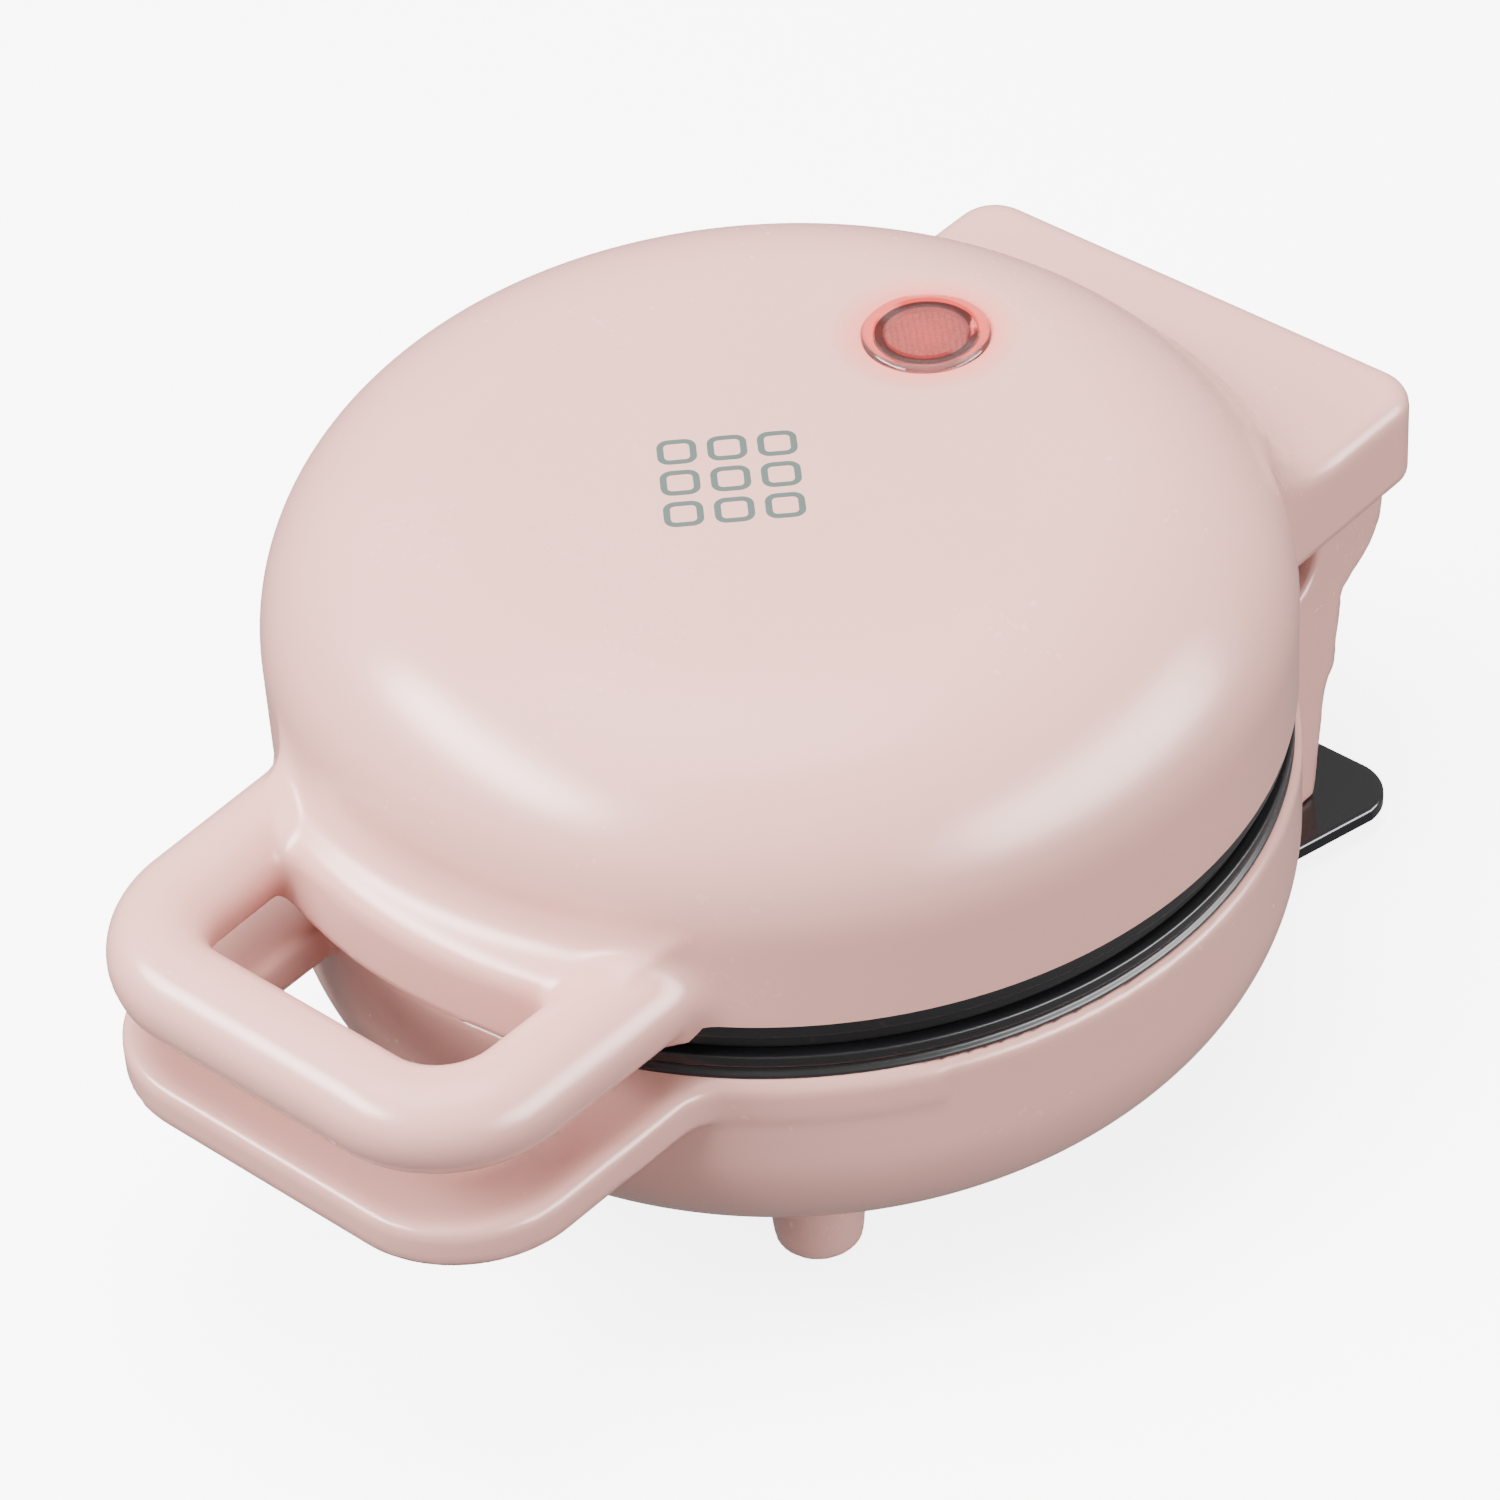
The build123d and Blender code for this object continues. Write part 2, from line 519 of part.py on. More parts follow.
def trim_ring(rim):
    """Black ring that carries a cooking plate; rim is the height of the housing it sits on."""
    shelf = PLATE_TOP - PLATE_FLANGE
    ring = turned(((RING_SHELF_RADIUS, rim), (RING_SHELF_RADIUS, shelf), (RING_LAND, shelf),
                   (RING_LAND, PLATE_TOP), (RING_RADIUS, PLATE_TOP), (RING_RADIUS, rim),
                   (RING_SKIRT_RADIUS, rim), (RING_SKIRT_RADIUS, rim - RING_SKIRT),
                   (RING_LAND, rim - RING_SKIRT), (RING_LAND, rim)))
    outer = ring.edges().filter_by(lambda e: abs(e.radius - RING_RADIUS) < TINY
                                   if e.geom_type == GeomType.CIRCLE else False)
    ring = fillet(outer, RING_EDGE)
    return ring - box(LEAD_GAP_START, LEAD_GAP_END, RING_SHELF_RADIUS, FAR,
                      rim - RING_SKIRT - 1, rim)


def waffle_squares():
    """Grid of raised squares with sloping sides, cut off round by the bake field."""
    reach = int(BAKE_RADIUS // SQUARE_PITCH) + 1
    steps = range(-reach, reach + 1)
    floor = PARTING - BAKE_DEPTH - TINY
    squares = []
    for i in steps:
        for j in steps:
            x, y = i * SQUARE_PITCH, j * SQUARE_PITCH
            if hypot(x, y) > BAKE_RADIUS:
                continue
            square = extrude(Rectangle(SQUARE_BASE, SQUARE_BASE), SQUARE_HEIGHT + TINY,
                             taper=SQUARE_DRAFT)
            square = Pos(x, y, floor) * square
            if hypot(abs(x) + SQUARE_BASE / 2, abs(y) + SQUARE_BASE / 2) > BAKE_RADIUS - 2:
                square &= cylinder(BAKE_RADIUS - SQUARE_EDGE_GAP, floor - 1, PARTING)
            if square.volume > SMALLEST_SQUARE:
                squares.append(square)
    return squares


def cooking_plate():
    """Cast plate: flange, dished wall, floor with raised squares, and bosses on its back."""
    floor = PARTING - BAKE_DEPTH
    shelf = PLATE_TOP - PLATE_FLANGE
    outside = BAKE_RADIUS + PLATE_WALL
    plate = turned(((0, PLATE_BACK), (outside - BAKE_WALL_LEAN, PLATE_BACK), (outside, shelf),
                    (PLATE_FLANGE_RADIUS, shelf), (PLATE_FLANGE_RADIUS, PLATE_TOP),
                    (BAKE_RADIUS, PLATE_TOP), (BAKE_RADIUS - BAKE_WALL_LEAN, floor), (0, floor)))
    for square in waffle_squares():
        plate += square
    for x, y in post_places():
        plate += cylinder(POST_RADIUS - 0.4, PLATE_BACK - 4, PLATE_BACK + TINY, x, y)
        plate -= cylinder(SCREW_RADIUS, PLATE_BACK - 5, PLATE_BACK + 1, x, y)
    for side in (-1, 1):
        y = side * STUD_OFFSET
        plate += cylinder(3.4, REFLECTOR_Z, PLATE_BACK + TINY, 0, y)
        plate -= cylinder(SCREW_RADIUS, REFLECTOR_Z - 1, PLATE_BACK - 1, 0, y)
    return plate


def heater():
    """Sheathed element bent round under the plate, its ends turned to the rear."""
    z = HEATER_Z
    start = 90 + HEATER_OPENING
    end = 90 - HEATER_OPENING + 360
    loop = CenterArc((0, 0, z), HEATER_CIRCLE, start, end - start)
    body = sweep(Plane(origin=loop @ 0, z_dir=loop % 0) * Circle(HEATER_TUBE), path=loop)
    for angle in (start, end):
        x, y = polar(HEATER_CIRCLE, angle)
        body += Pos(x, y, z) * Sphere(HEATER_TUBE)
        body += along_y(HEATER_TUBE, y, y + 8, x, z)
        body += along_y(1.2, y + 8, y + 15, x, z)
    return body


def heater_tags():
    """Push-on tags on the two ends of an element."""
    z = HEATER_Z
    tags = []
    for angle in (90 + HEATER_OPENING, 90 - HEATER_OPENING):
        x, y = polar(HEATER_CIRCLE, angle)
        tag = box(x - 2.4, x + 2.4, y + 9, y + 16, z - 2, z + 2)
        tags.append(tag - along_y(1.2 + TINY, y + 8, y + 15 + TINY, x, z))
    return group(tags)


def reflector():
    """Bright pan behind the element that throws its heat at the plate."""
    z = REFLECTOR_Z
    rim = REFLECTOR_RADIUS + REFLECTOR_SPLAY
    pan = turned(((0, z - REFLECTOR_SHEET), (REFLECTOR_RADIUS, z - REFLECTOR_SHEET),
                  (rim, z + REFLECTOR_LIP), (rim - REFLECTOR_SHEET, z + REFLECTOR_LIP),
                  (REFLECTOR_RADIUS - REFLECTOR_SHEET, z), (0, z)))
    slot_x = HEATER_CIRCLE * sin(radians(HEATER_OPENING)) + HEATER_TUBE + 1
    pan -= box(-slot_x, slot_x, HEATER_CIRCLE - 8, FAR, z + REFLECTOR_SHEET / 2, z + 20)
    for side in (-1, 1):
        pan -= cylinder(SCREW_RADIUS + SCREW_CLEARANCE, z - 5, z + 5, 0, side * STUD_OFFSET)
    return pan


def reflector_screws():
    """Two screws that hold a reflector to the bosses on the plate's back."""
    top = REFLECTOR_Z - REFLECTOR_SHEET - TINY
    return group(screw_up(0, side * STUD_OFFSET, top, 7, 1.6) for side in (-1, 1))


# ---- Electrical pieces in the base ----

def thermostat():
    """Snap-disc thermostat hung under the lower reflector."""
    z = REFLECTOR_Z - REFLECTOR_SHEET - TINY
    x = THERMOSTAT_X
    body = cylinder(THERMOSTAT_RADIUS, z - THERMOSTAT_HEIGHT, z, x, 0)
    for side in (-1, 1):
        body += box(x - 1, x + 1, side * 4 - 0.4, side * 4 + 0.4, z - THERMOSTAT_HEIGHT - 5,
                    z - THERMOSTAT_HEIGHT + 0.1)
    return body


def thermostat_bracket():
    """Ring with two ears that holds the thermostat against the reflector."""
    z = REFLECTOR_Z - REFLECTOR_SHEET - TINY
    x = THERMOSTAT_X
    strap = cylinder(THERMOSTAT_RADIUS + 1, z - 2.2, z, x, 0)
    strap += box(x - 2, x + 2, -THERMOSTAT_RADIUS - 6, THERMOSTAT_RADIUS + 6, z - 0.8, z)
    return strap - cylinder(THERMOSTAT_RADIUS + TINY, z - 3, z + 1, x, 0)


def terminal_places():
    """Distances of the three terminals from the middle."""
    return [i * TERMINAL_PITCH for i in (-1, 0, 1)]


def terminal_block():
    """Screw terminal block in the pillar where a mains lead's cores end."""
    half = 1.6 * TERMINAL_PITCH
    low, high = TERMINAL_Y - TERMINAL_DEPTH / 2, TERMINAL_Y + TERMINAL_DEPTH / 2
    block = box(-half, half, low, high, TERMINAL_Z - 5, TERMINAL_Z + 5)
    for x in terminal_places():
        block -= along_y(1.7, low - 1, high + 1, x, TERMINAL_Z)
        block -= cylinder(2.2, TERMINAL_Z + 2, TERMINAL_Z + 6, x, TERMINAL_Y)
    return block


def terminal_screws():
    """Clamp screws of the terminal block."""
    low = TERMINAL_Z + 2 + TINY
    return group(cylinder(2.0, low, low + 2.4, x, TERMINAL_Y)
                 - box(x - 2.5, x + 2.5, TERMINAL_Y - 0.3, TERMINAL_Y + 0.3, low + 1.6, low + 3)
                 for x in terminal_places())


def lead(points, bend, radius):
    """Insulated lead along straight runs joined by round bends."""
    route = FilletPolyline(*points, radius=bend)
    return sweep(Plane(origin=route @ 0, z_dir=route % 0) * Circle(radius), path=route)


def base_leads():
    """Leads in the base: terminal block to the lower element's tags."""
    x_tag, y_arc = polar(HEATER_CIRCLE, 90 - HEATER_OPENING)
    y_start = TERMINAL_Y - TERMINAL_DEPTH / 2 - 0.8
    y_turn = y_start - 5.8
    leads = []
    for side in (-1, 1):
        points = ((side * TERMINAL_PITCH, y_start, TERMINAL_Z),
                  (side * TERMINAL_PITCH, y_turn, TERMINAL_Z),
                  (side * (x_tag + 3), y_turn, TERMINAL_Z - 1),
                  (side * (x_tag + 8.4), y_start + 3.4, TERMINAL_Z + 4),
                  (side * x_tag, y_arc + 22.5, HEATER_Z - 2.2))
        leads.append(lead(points, 2 * LEAD_RADIUS, LEAD_RADIUS))
    return group(leads)


def hinge_sleeve():
    """Heat-proof sleeve on the hinge axis; the lid's leads turn inside it."""
    tube = cross_cylinder(3.4, -12, LEAD_GAP_START - 0.4, HINGE_Y, HINGE_Z)
    return tube - cross_cylinder(2.5, -13, LEAD_GAP_START + 1, HINGE_Y, HINGE_Z)


def riser_leads():
    """Bundle that rises in the pillar to the hinge sleeve."""
    y_block = TERMINAL_Y + TERMINAL_DEPTH / 2 + TINY
    y_rise = BASE_RADIUS - 1
    x_rise = 2.2 * TERMINAL_PITCH
    points = ((-TERMINAL_PITCH, y_block, TERMINAL_Z), (-TERMINAL_PITCH, y_rise, TERMINAL_Z),
              (-x_rise, y_rise, TERMINAL_Z + 7), (-x_rise, y_rise, HINGE_Z - 7),
              (-x_rise, HINGE_Y, HINGE_Z), (-13.2, HINGE_Y, HINGE_Z))
    return lead(points, BUNDLE_RADIUS + 0.1, BUNDLE_RADIUS)


# ---- Lid ----

def loop_route(z):
    """Centre line of the lid handle's bar: two arms and the bar across the front."""
    rear = LID_RADIUS - 13
    wide = LOOP_HALF_WIDTH + (LOOP_REACH - LOOP_CORNER - rear) * tan(radians(LOOP_FLARE))
    points = ((-wide, -rear, z), (-LOOP_HALF_WIDTH, -LOOP_REACH, z),
              (LOOP_HALF_WIDTH, -LOOP_REACH, z), (wide, -rear, z))
    return FilletPolyline(*points, radius=LOOP_CORNER)


def swept_loop(profile, z):
    """Section swept along the handle; its local Y axis points up."""
    route = loop_route(z)
    start = Plane(origin=route @ 0, z_dir=route % 0, x_dir=(route % 0).cross(Vector(0, 0, 1)))
    return sweep(start * profile, path=route)


def handle_channel(width, low, high):
    """Strip along the handle's centre line between two heights."""
    return swept_loop(Rectangle(width, high - low), (low + high) / 2)


def loop_handle():
    """Round bar of the lid's handle, hollow from below under its cover strip."""
    bar = swept_loop(Circle(LOOP_RADIUS), LOOP_Z)
    bar -= handle_channel(LOOP_CHANNEL_WIDTH, LOOP_BOTTOM - 1, LOOP_BOTTOM + LOOP_CHANNEL_DEPTH)
    boss_low = LOOP_BOTTOM + LOOP_COVER_RECESS + LOOP_COVER_THICKNESS + TINY
    for x in cover_screw_places():
        bar += cylinder(LOOP_CHANNEL_WIDTH / 2, boss_low, LOOP_Z + 1, x, -LOOP_REACH)
        bar -= cylinder(COVER_SCREW_RADIUS + TINY, LOOP_BOTTOM - 1, LOOP_Z - 1, x, -LOOP_REACH)
    return bar


def cover_screw_places():
    """Distances of the cover's two screws from the middle."""
    return [-LOOP_HALF_WIDTH / 2, LOOP_HALF_WIDTH / 2]


def loop_cover():
    """Strip that closes the handle's hollow from below."""
    bottom = LOOP_BOTTOM + LOOP_COVER_RECESS
    strip = handle_channel(LOOP_CHANNEL_WIDTH - 2 * COVER_GAP, bottom,
                           bottom + LOOP_COVER_THICKNESS)
    strip -= cylinder(LID_RADIUS + 10 * COVER_GAP, 0, FAR)
    for x in cover_screw_places():
        strip -= cylinder(COVER_SCREW_RADIUS + SCREW_CLEARANCE, 0, FAR, x, -LOOP_REACH)
        strip -= cylinder(COVER_HEAD_RADIUS + TINY, 0, bottom + COVER_HEAD + TINY, x, -LOOP_REACH)
    return strip


def loop_screws():
    """Two small screws that hold the cover strip."""
    bottom = LOOP_BOTTOM + LOOP_COVER_RECESS
    screws = []
    for x in cover_screw_places():
        shank = cylinder(COVER_SCREW_RADIUS, bottom + COVER_HEAD / 2, bottom + 5, x, -LOOP_REACH)
        head = cylinder(COVER_HEAD_RADIUS, bottom + TINY, bottom + COVER_HEAD, x, -LOOP_REACH)
        head -= box(x - 1.3, x + 1.3, -LOOP_REACH - 0.3, -LOOP_REACH + 0.3, bottom, bottom + 0.4)
        screws.append(shank + head)
    return group(screws)


def apron():
    """Ledge across the front of the lid, between the handle's arms."""
    top = LID_RIM + APRON_TOP
    profile = turned(((LID_RADIUS - WALL, SKIRT_Z), (APRON_RADIUS, SKIRT_Z), (APRON_RADIUS, top),
                      (LID_RADIUS - WALL, top)))
    profile = fillet(profile.edges().filter_by(lambda e: abs(e.radius - APRON_RADIUS) < TINY
                                               and e.center().Z > LID_RIM
                                               if e.geom_type == GeomType.CIRCLE else False),
                     APRON_EDGE)
    half = LOOP_HALF_WIDTH - LOOP_CHANNEL_WIDTH / 2 - COVER_GAP
    return profile & box(-half, half, -FAR, 0, 0, FAR)


def block_shape(half, reach, corner, edge, top, bottom):
    """Hinge block as a solid, rounded at its rear corners and top edges."""
    body = box(-half, half, BLOCK_ROOT, reach, bottom, top)
    upright = body.edges().filter_by(Axis.Z).filter_by(lambda e: e.center().Y > reach - 1)
    body = fillet(upright, corner)
    rear = body.edges().group_by(Axis.Z)[-1].filter_by(lambda e: e.center().Y > BLOCK_ROOT + 1)
    return fillet(rear, edge)


def hinge_rib(side):
    """Lid's hinge rib with the hole that turns on the pin."""
    x_low, x_high = sorted((side * RIB_INNER, side * RIB_OUTER))
    top = LID_RIM + BLOCK_RISE - BLOCK_WALL + TINY
    rib = cross_cylinder(RIB_RADIUS, x_low, x_high, HINGE_Y, HINGE_Z)
    rib += box(x_low, x_high, HINGE_Y - RIB_RADIUS, HINGE_Y + RIB_RADIUS, HINGE_Z, top)
    return rib - cross_cylinder(PIN_RADIUS + PIN_CLEARANCE, x_low - 1, x_high + 1,
                                HINGE_Y, HINGE_Z)


def hinge_block():
    """Hollow block at the rear of the lid, open below, with two ribs for the pins."""
    top = LID_RIM + BLOCK_RISE
    body = block_shape(BLOCK_HALF_WIDTH, HINGE_REACH, BLOCK_CORNER, BLOCK_EDGE, top, SKIRT_Z)
    body -= block_shape(BLOCK_HALF_WIDTH - BLOCK_WALL, HINGE_REACH - BLOCK_WALL,
                        BLOCK_CORNER - BLOCK_WALL, BLOCK_EDGE - BLOCK_WALL,
                        top - BLOCK_WALL, SKIRT_Z - 1)
    for side in (-1, 1):
        body += hinge_rib(side)
    return body


def lens_seat():
    """Hole and shallow seat for the indicator lens, as the solid to cut away."""
    stem = cylinder(LENS_STEM_RADIUS + COVER_GAP, LID_TOP - 3 * WALL, LID_TOP + 1, 0, LENS_Y)
    seat = cylinder(LENS_FLANGE_RADIUS + COVER_GAP, LID_TOP - LENS_SEAT, LID_TOP + 1, 0, LENS_Y)
    return stem + seat


def lid_housing():
    """Dome, apron, loop handle and hinge block, moulded in one."""
    additions = (apron() + loop_handle() + hinge_block()) - outer_dome()
    additions -= cylinder(LID_RADIUS, 0, LID_RIM)
    body = (outer_dome() - dome_cavity()) + additions
    body -= lens_seat()
    body -= box(LEAD_GAP_START + 2, LEAD_GAP_END - 2, RING_SHELF_RADIUS, LID_RADIUS + 5,
                LID_RIM + 0.6, LID_RIM + 7)
    post_low = to_upper(PLATE_BACK - 4.2)
    for x, y in post_places():
        body += cylinder(POST_RADIUS - 0.4, post_low, LID_TOP - 1, x, y) & outer_dome()
        body -= cylinder(SCREW_RADIUS, LID_RIM, post_low + 8, x, y)
    return body


def to_upper(z):
    """Height of a base-side level after mirroring over the parting plane."""
    return 2 * PARTING - z


def lid_post_screws():
    """Three threaded studs that join the upper plate to the lid's posts."""
    low = to_upper(PLATE_BACK + 0.6)
    return group(cylinder(SCREW_RADIUS - TINY, low, low + 11, x, y) for x, y in post_places())


def hinge_pins():
    """Two headed pins; each joins a lid rib to a base ear."""
    pins = []
    for side in (-1, 1):
        x_head = RIB_INNER - 0.3
        pin_end = PILLAR_HALF_WIDTH - EAR_SKIN - 2 * TINY
        x_low, x_high = sorted((side * (x_head - TINY), side * pin_end))
        shaft = cross_cylinder(PIN_RADIUS, x_low, x_high, HINGE_Y, HINGE_Z)
        h_low, h_high = sorted((side * (x_head - PIN_HEAD_THICKNESS), side * x_head))
        pins.append(shaft + cross_cylinder(PIN_HEAD_RADIUS, h_low, h_high, HINGE_Y, HINGE_Z))
    return group(pins)


def indicator_lens():
    """Clear red cap with a domed rim, pressed into the lid."""
    cap = cylinder(LENS_FLANGE_RADIUS, LID_TOP - LENS_SEAT + TINY, LENS_TOP, 0, LENS_Y)
    cap = fillet(cap.edges().group_by(Axis.Z)[-1], LENS_PROUD - 2 * TINY)
    cap += cylinder(LENS_STEM_RADIUS, LID_TOP - LENS_STEM, LID_TOP, 0, LENS_Y)
    return cap - cylinder(FACET_DISC_RADIUS + COVER_GAP, LID_TOP - LENS_STEM - 1,
                          LENS_TOP - LENS_SKIN, 0, LENS_Y)


def lens_diffuser():
    """Faceted disc that spreads the lamp's light, inside the cap."""
    top = LENS_TOP - LENS_SKIN - TINY
    return cylinder(FACET_DISC_RADIUS, top - FACET_DISC_THICKNESS, top, 0, LENS_Y)


def lens_lock_ring():
    """Push-on ring that locks the lens from inside the lid."""
    top = LID_TOP - WALL - TINY
    return (cylinder(LENS_STEM_RADIUS + 2.4, top - 1.2, top, 0, LENS_Y)
            - cylinder(LENS_STEM_RADIUS + TINY, top - 2, top + 1, 0, LENS_Y))


def indicator_lamp():
    """Neon lamp standing up inside the lens."""
    low = LID_TOP - LENS_STEM - 4
    high = LENS_TOP - LENS_SKIN - FACET_DISC_THICKNESS - LAMP_RADIUS - 4 * TINY
    return cylinder(LAMP_RADIUS, low, high, 0, LENS_Y) + Pos(0, LENS_Y, high) * Sphere(LAMP_RADIUS)


def lamp_holder():
    """Collar that grips the lamp under the lens."""
    high = LID_TOP - LENS_STEM - TINY
    return (cylinder(LENS_STEM_RADIUS, high - 6, high, 0, LENS_Y)
            - cylinder(LAMP_RADIUS + TINY, high - 4, high + 1, 0, LENS_Y))


def lid_leads():
    """Bundle from the hinge axis, through the lid's rear wall, to the upper element."""
    x = (LEAD_GAP_START + LEAD_GAP_END) / 2
    z_high = LID_RIM + 3.6
    points = ((-8, HINGE_Y, HINGE_Z), (x, HINGE_Y, HINGE_Z), (x, HINGE_Y - 0.6, z_high),
              (x, LID_RADIUS - 8, z_high + 0.4), (x, LID_RADIUS - 13, z_high + 6))
    return lead(points, 2.6, BUNDLE_RADIUS - 0.2)


def thermal_fuse():
    """One-shot thermal fuse in its sleeve, lying on the upper reflector."""
    z = to_upper(REFLECTOR_Z - REFLECTOR_SHEET) + TINY
    return cross_cylinder(FUSE_RADIUS, -8, 8, -4, z + FUSE_RADIUS)


def fuse_clip():
    """Bent clip that holds the fuse down."""
    z = to_upper(REFLECTOR_Z - REFLECTOR_SHEET) + TINY
    inside = cross_cylinder(FUSE_RADIUS + TINY, -3, 3, -4, z + FUSE_RADIUS)
    arch = cross_cylinder(FUSE_RADIUS + 0.8, -2, 2, -4, z + FUSE_RADIUS)
    arch &= box(-3, 3, -8, 0, z, z + 6)
    return arch + box(-2, 2, -2, 4, z, z + 0.7) - inside


def main():
    """Write every node."""
    os.makedirs("parts", exist_ok=True)
    plate = cooking_plate()
    nodes = {
        "base_housing": base_housing(),
        "foot_pads": foot_pads(),
        "cord_wrap_plate": cord_wrap_plate(),
        "cord_plate_screws": cord_plate_screws(),
        "base_post_screws": base_post_screws(),
        "cord_gland": cord_gland(),
        "lower_trim_ring": trim_ring(BASE_RIM),
        "lower_cooking_plate": plate,
        "lower_heater": heater(),
        "lower_heater_tags": heater_tags(),
        "lower_reflector": reflector(),
        "lower_reflector_screws": reflector_screws(),
        "thermostat": thermostat(),
        "thermostat_bracket": thermostat_bracket(),
        "terminal_block": terminal_block(),
        "terminal_screws": terminal_screws(),
        "base_leads": base_leads(),
        "riser_leads": riser_leads(),
        "hinge_sleeve": hinge_sleeve(),
        "hinge_pins": hinge_pins(),
        "lid_housing": lid_housing(),
        "lid_handle_cover": loop_cover(),
        "lid_handle_screws": loop_screws(),
        "lid_post_screws": lid_post_screws(),
        "upper_trim_ring": to_lid(trim_ring(2 * PARTING - LID_RIM)),
        "upper_cooking_plate": to_lid(plate),
        "upper_heater": to_lid(heater()),
        "upper_heater_tags": to_lid(heater_tags()),
        "upper_reflector": to_lid(reflector()),
        "upper_reflector_screws": to_lid(reflector_screws()),
        "thermal_fuse": thermal_fuse(),
        "fuse_clip": fuse_clip(),
        "lid_leads": lid_leads(),
        "indicator_lens": indicator_lens(),
        "lens_diffuser": lens_diffuser(),
        "lens_lock_ring": lens_lock_ring(),
        "indicator_lamp": indicator_lamp(),
        "lamp_holder": lamp_holder(),
    }
    for name, shape in nodes.items():
        export_node(name, shape)


main()
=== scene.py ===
import json
import logging
from dataclasses import dataclass, field
from enum import Enum
from math import cos, pi, radians, sin, sqrt, tan
from typing import Callable, Sequence

import bmesh
import bpy
import numpy as np
import openvdb
from mathutils import Matrix, Vector


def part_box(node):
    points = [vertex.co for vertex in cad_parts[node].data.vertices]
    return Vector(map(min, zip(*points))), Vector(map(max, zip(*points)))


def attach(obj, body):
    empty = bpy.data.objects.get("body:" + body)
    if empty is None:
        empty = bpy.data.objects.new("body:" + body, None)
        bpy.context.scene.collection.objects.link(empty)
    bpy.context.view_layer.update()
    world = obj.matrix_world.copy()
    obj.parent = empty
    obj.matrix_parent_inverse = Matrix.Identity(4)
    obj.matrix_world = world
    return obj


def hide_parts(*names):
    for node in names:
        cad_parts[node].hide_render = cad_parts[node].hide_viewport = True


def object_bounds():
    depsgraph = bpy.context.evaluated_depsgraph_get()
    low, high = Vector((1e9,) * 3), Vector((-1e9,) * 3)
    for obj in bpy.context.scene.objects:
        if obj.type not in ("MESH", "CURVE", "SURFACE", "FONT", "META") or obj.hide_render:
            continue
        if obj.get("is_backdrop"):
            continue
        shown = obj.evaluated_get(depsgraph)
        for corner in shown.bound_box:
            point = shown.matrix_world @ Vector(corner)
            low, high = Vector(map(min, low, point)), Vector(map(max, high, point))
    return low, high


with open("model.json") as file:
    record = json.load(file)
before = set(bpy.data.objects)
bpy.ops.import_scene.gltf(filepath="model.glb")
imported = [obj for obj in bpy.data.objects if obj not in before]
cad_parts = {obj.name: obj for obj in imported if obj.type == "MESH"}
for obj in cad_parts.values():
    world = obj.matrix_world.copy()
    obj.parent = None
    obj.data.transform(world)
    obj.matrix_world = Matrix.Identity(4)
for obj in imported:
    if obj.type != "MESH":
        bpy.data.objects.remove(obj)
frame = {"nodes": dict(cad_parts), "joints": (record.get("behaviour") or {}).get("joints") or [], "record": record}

log = logging.getLogger("waffle_maker")
MM = 0.001
Array = np.ndarray
Profile = Sequence[tuple[float, float]]


class Body(Enum):
    """The two bodies that the hinge joins."""

    BASE = "base"
    LID = "lid"


# ---- Where things are, read from the frame, in millimetres ----


def box_mm(node: str) -> tuple[Vector, Vector]:
    """Corners of a CAD node at rest.

    Args:
        node: The node's name.

    Returns:
        Its lowest and highest corner, in millimetres.
    """
    low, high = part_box(node)
    return low / MM, high / MM


@dataclass(frozen=True)
class Levels:
    """Heights and the main axis of the round body, in millimetres."""

    axis_y: float
    table: float
    bowl_bottom: float
    base_rim: float
    lid_rim: float
    lid_top: float
    skirt: float
    lens_y: float
    hinge_y: float
    hinge_z: float

    @classmethod
    def from_frame(cls) -> "Levels":
        """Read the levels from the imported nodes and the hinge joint."""
        upper_low, upper_high = box_mm("upper_trim_ring")
        lower_low, lower_high = box_mm("lower_trim_ring")
        pad_low, pad_high = box_mm("foot_pads")
        _, lid_high = box_mm("lid_housing")
        lens_low, lens_high = box_mm("indicator_lens")
        disc_low, disc_high = box_mm("lens_diffuser")
        axis_y = (upper_low.y + upper_high.y) / 2
        hinge = next(joint for joint in frame["joints"] if joint["name"] == "lid_hinge")
        return cls(
            axis_y=axis_y,
            table=pad_low.z,
            bowl_bottom=6.0,
            base_rim=lower_low.z + RING_SKIRT,
            lid_rim=upper_high.z - RING_SKIRT,
            lid_top=lid_high.z,
            skirt=upper_high.z - RING_SKIRT - LID_SKIRT,
            lens_y=(lens_low.y + lens_high.y) / 2 - axis_y,
            hinge_y=hinge["pos_m"][1] / MM - axis_y,
            hinge_z=hinge["pos_m"][2] / MM,
        )


RING_SKIRT = 5.0  # height of a trim ring's skirt inside its housing
LID_SKIRT = 3.0  # how far the apron and hinge block reach below the lid's rim


# ---- Shapes as distance fields: every function takes and gives arrays of millimetres ----


def joined(a: Array, b: Array, radius: float) -> Array:
    """Union of two distance fields with a round fillet in the corner between them.

    Args:
        a: First field.
        b: Second field.
        radius: Radius of the fillet.

    Returns:
        The joined field.
    """
    inner = np.hypot(np.maximum(radius - a, 0), np.maximum(radius - b, 0))
    return np.maximum(radius, np.minimum(a, b)) - inner


def common(a: Array, b: Array, radius: float) -> Array:
    """Intersection of two distance fields with a rounded outer edge.

    Args:
        a: First field.
        b: Second field.
        radius: Rounding of the edge.

    Returns:
        The common field.
    """
    outer = np.hypot(np.maximum(radius + a, 0), np.maximum(radius + b, 0))
    return np.minimum(-radius, np.maximum(a, b)) + outer


def without(a: Array, b: Array, radius: float = 0.0) -> Array:
    """First field with the second cut away, its new edge rounded."""
    return common(a, -b, radius) if radius else np.maximum(a, -b)


def slab(value: Array, low: float, high: float) -> Array:
    """Field of the space between two planes across one coordinate."""
    return np.maximum(low - value, value - high)


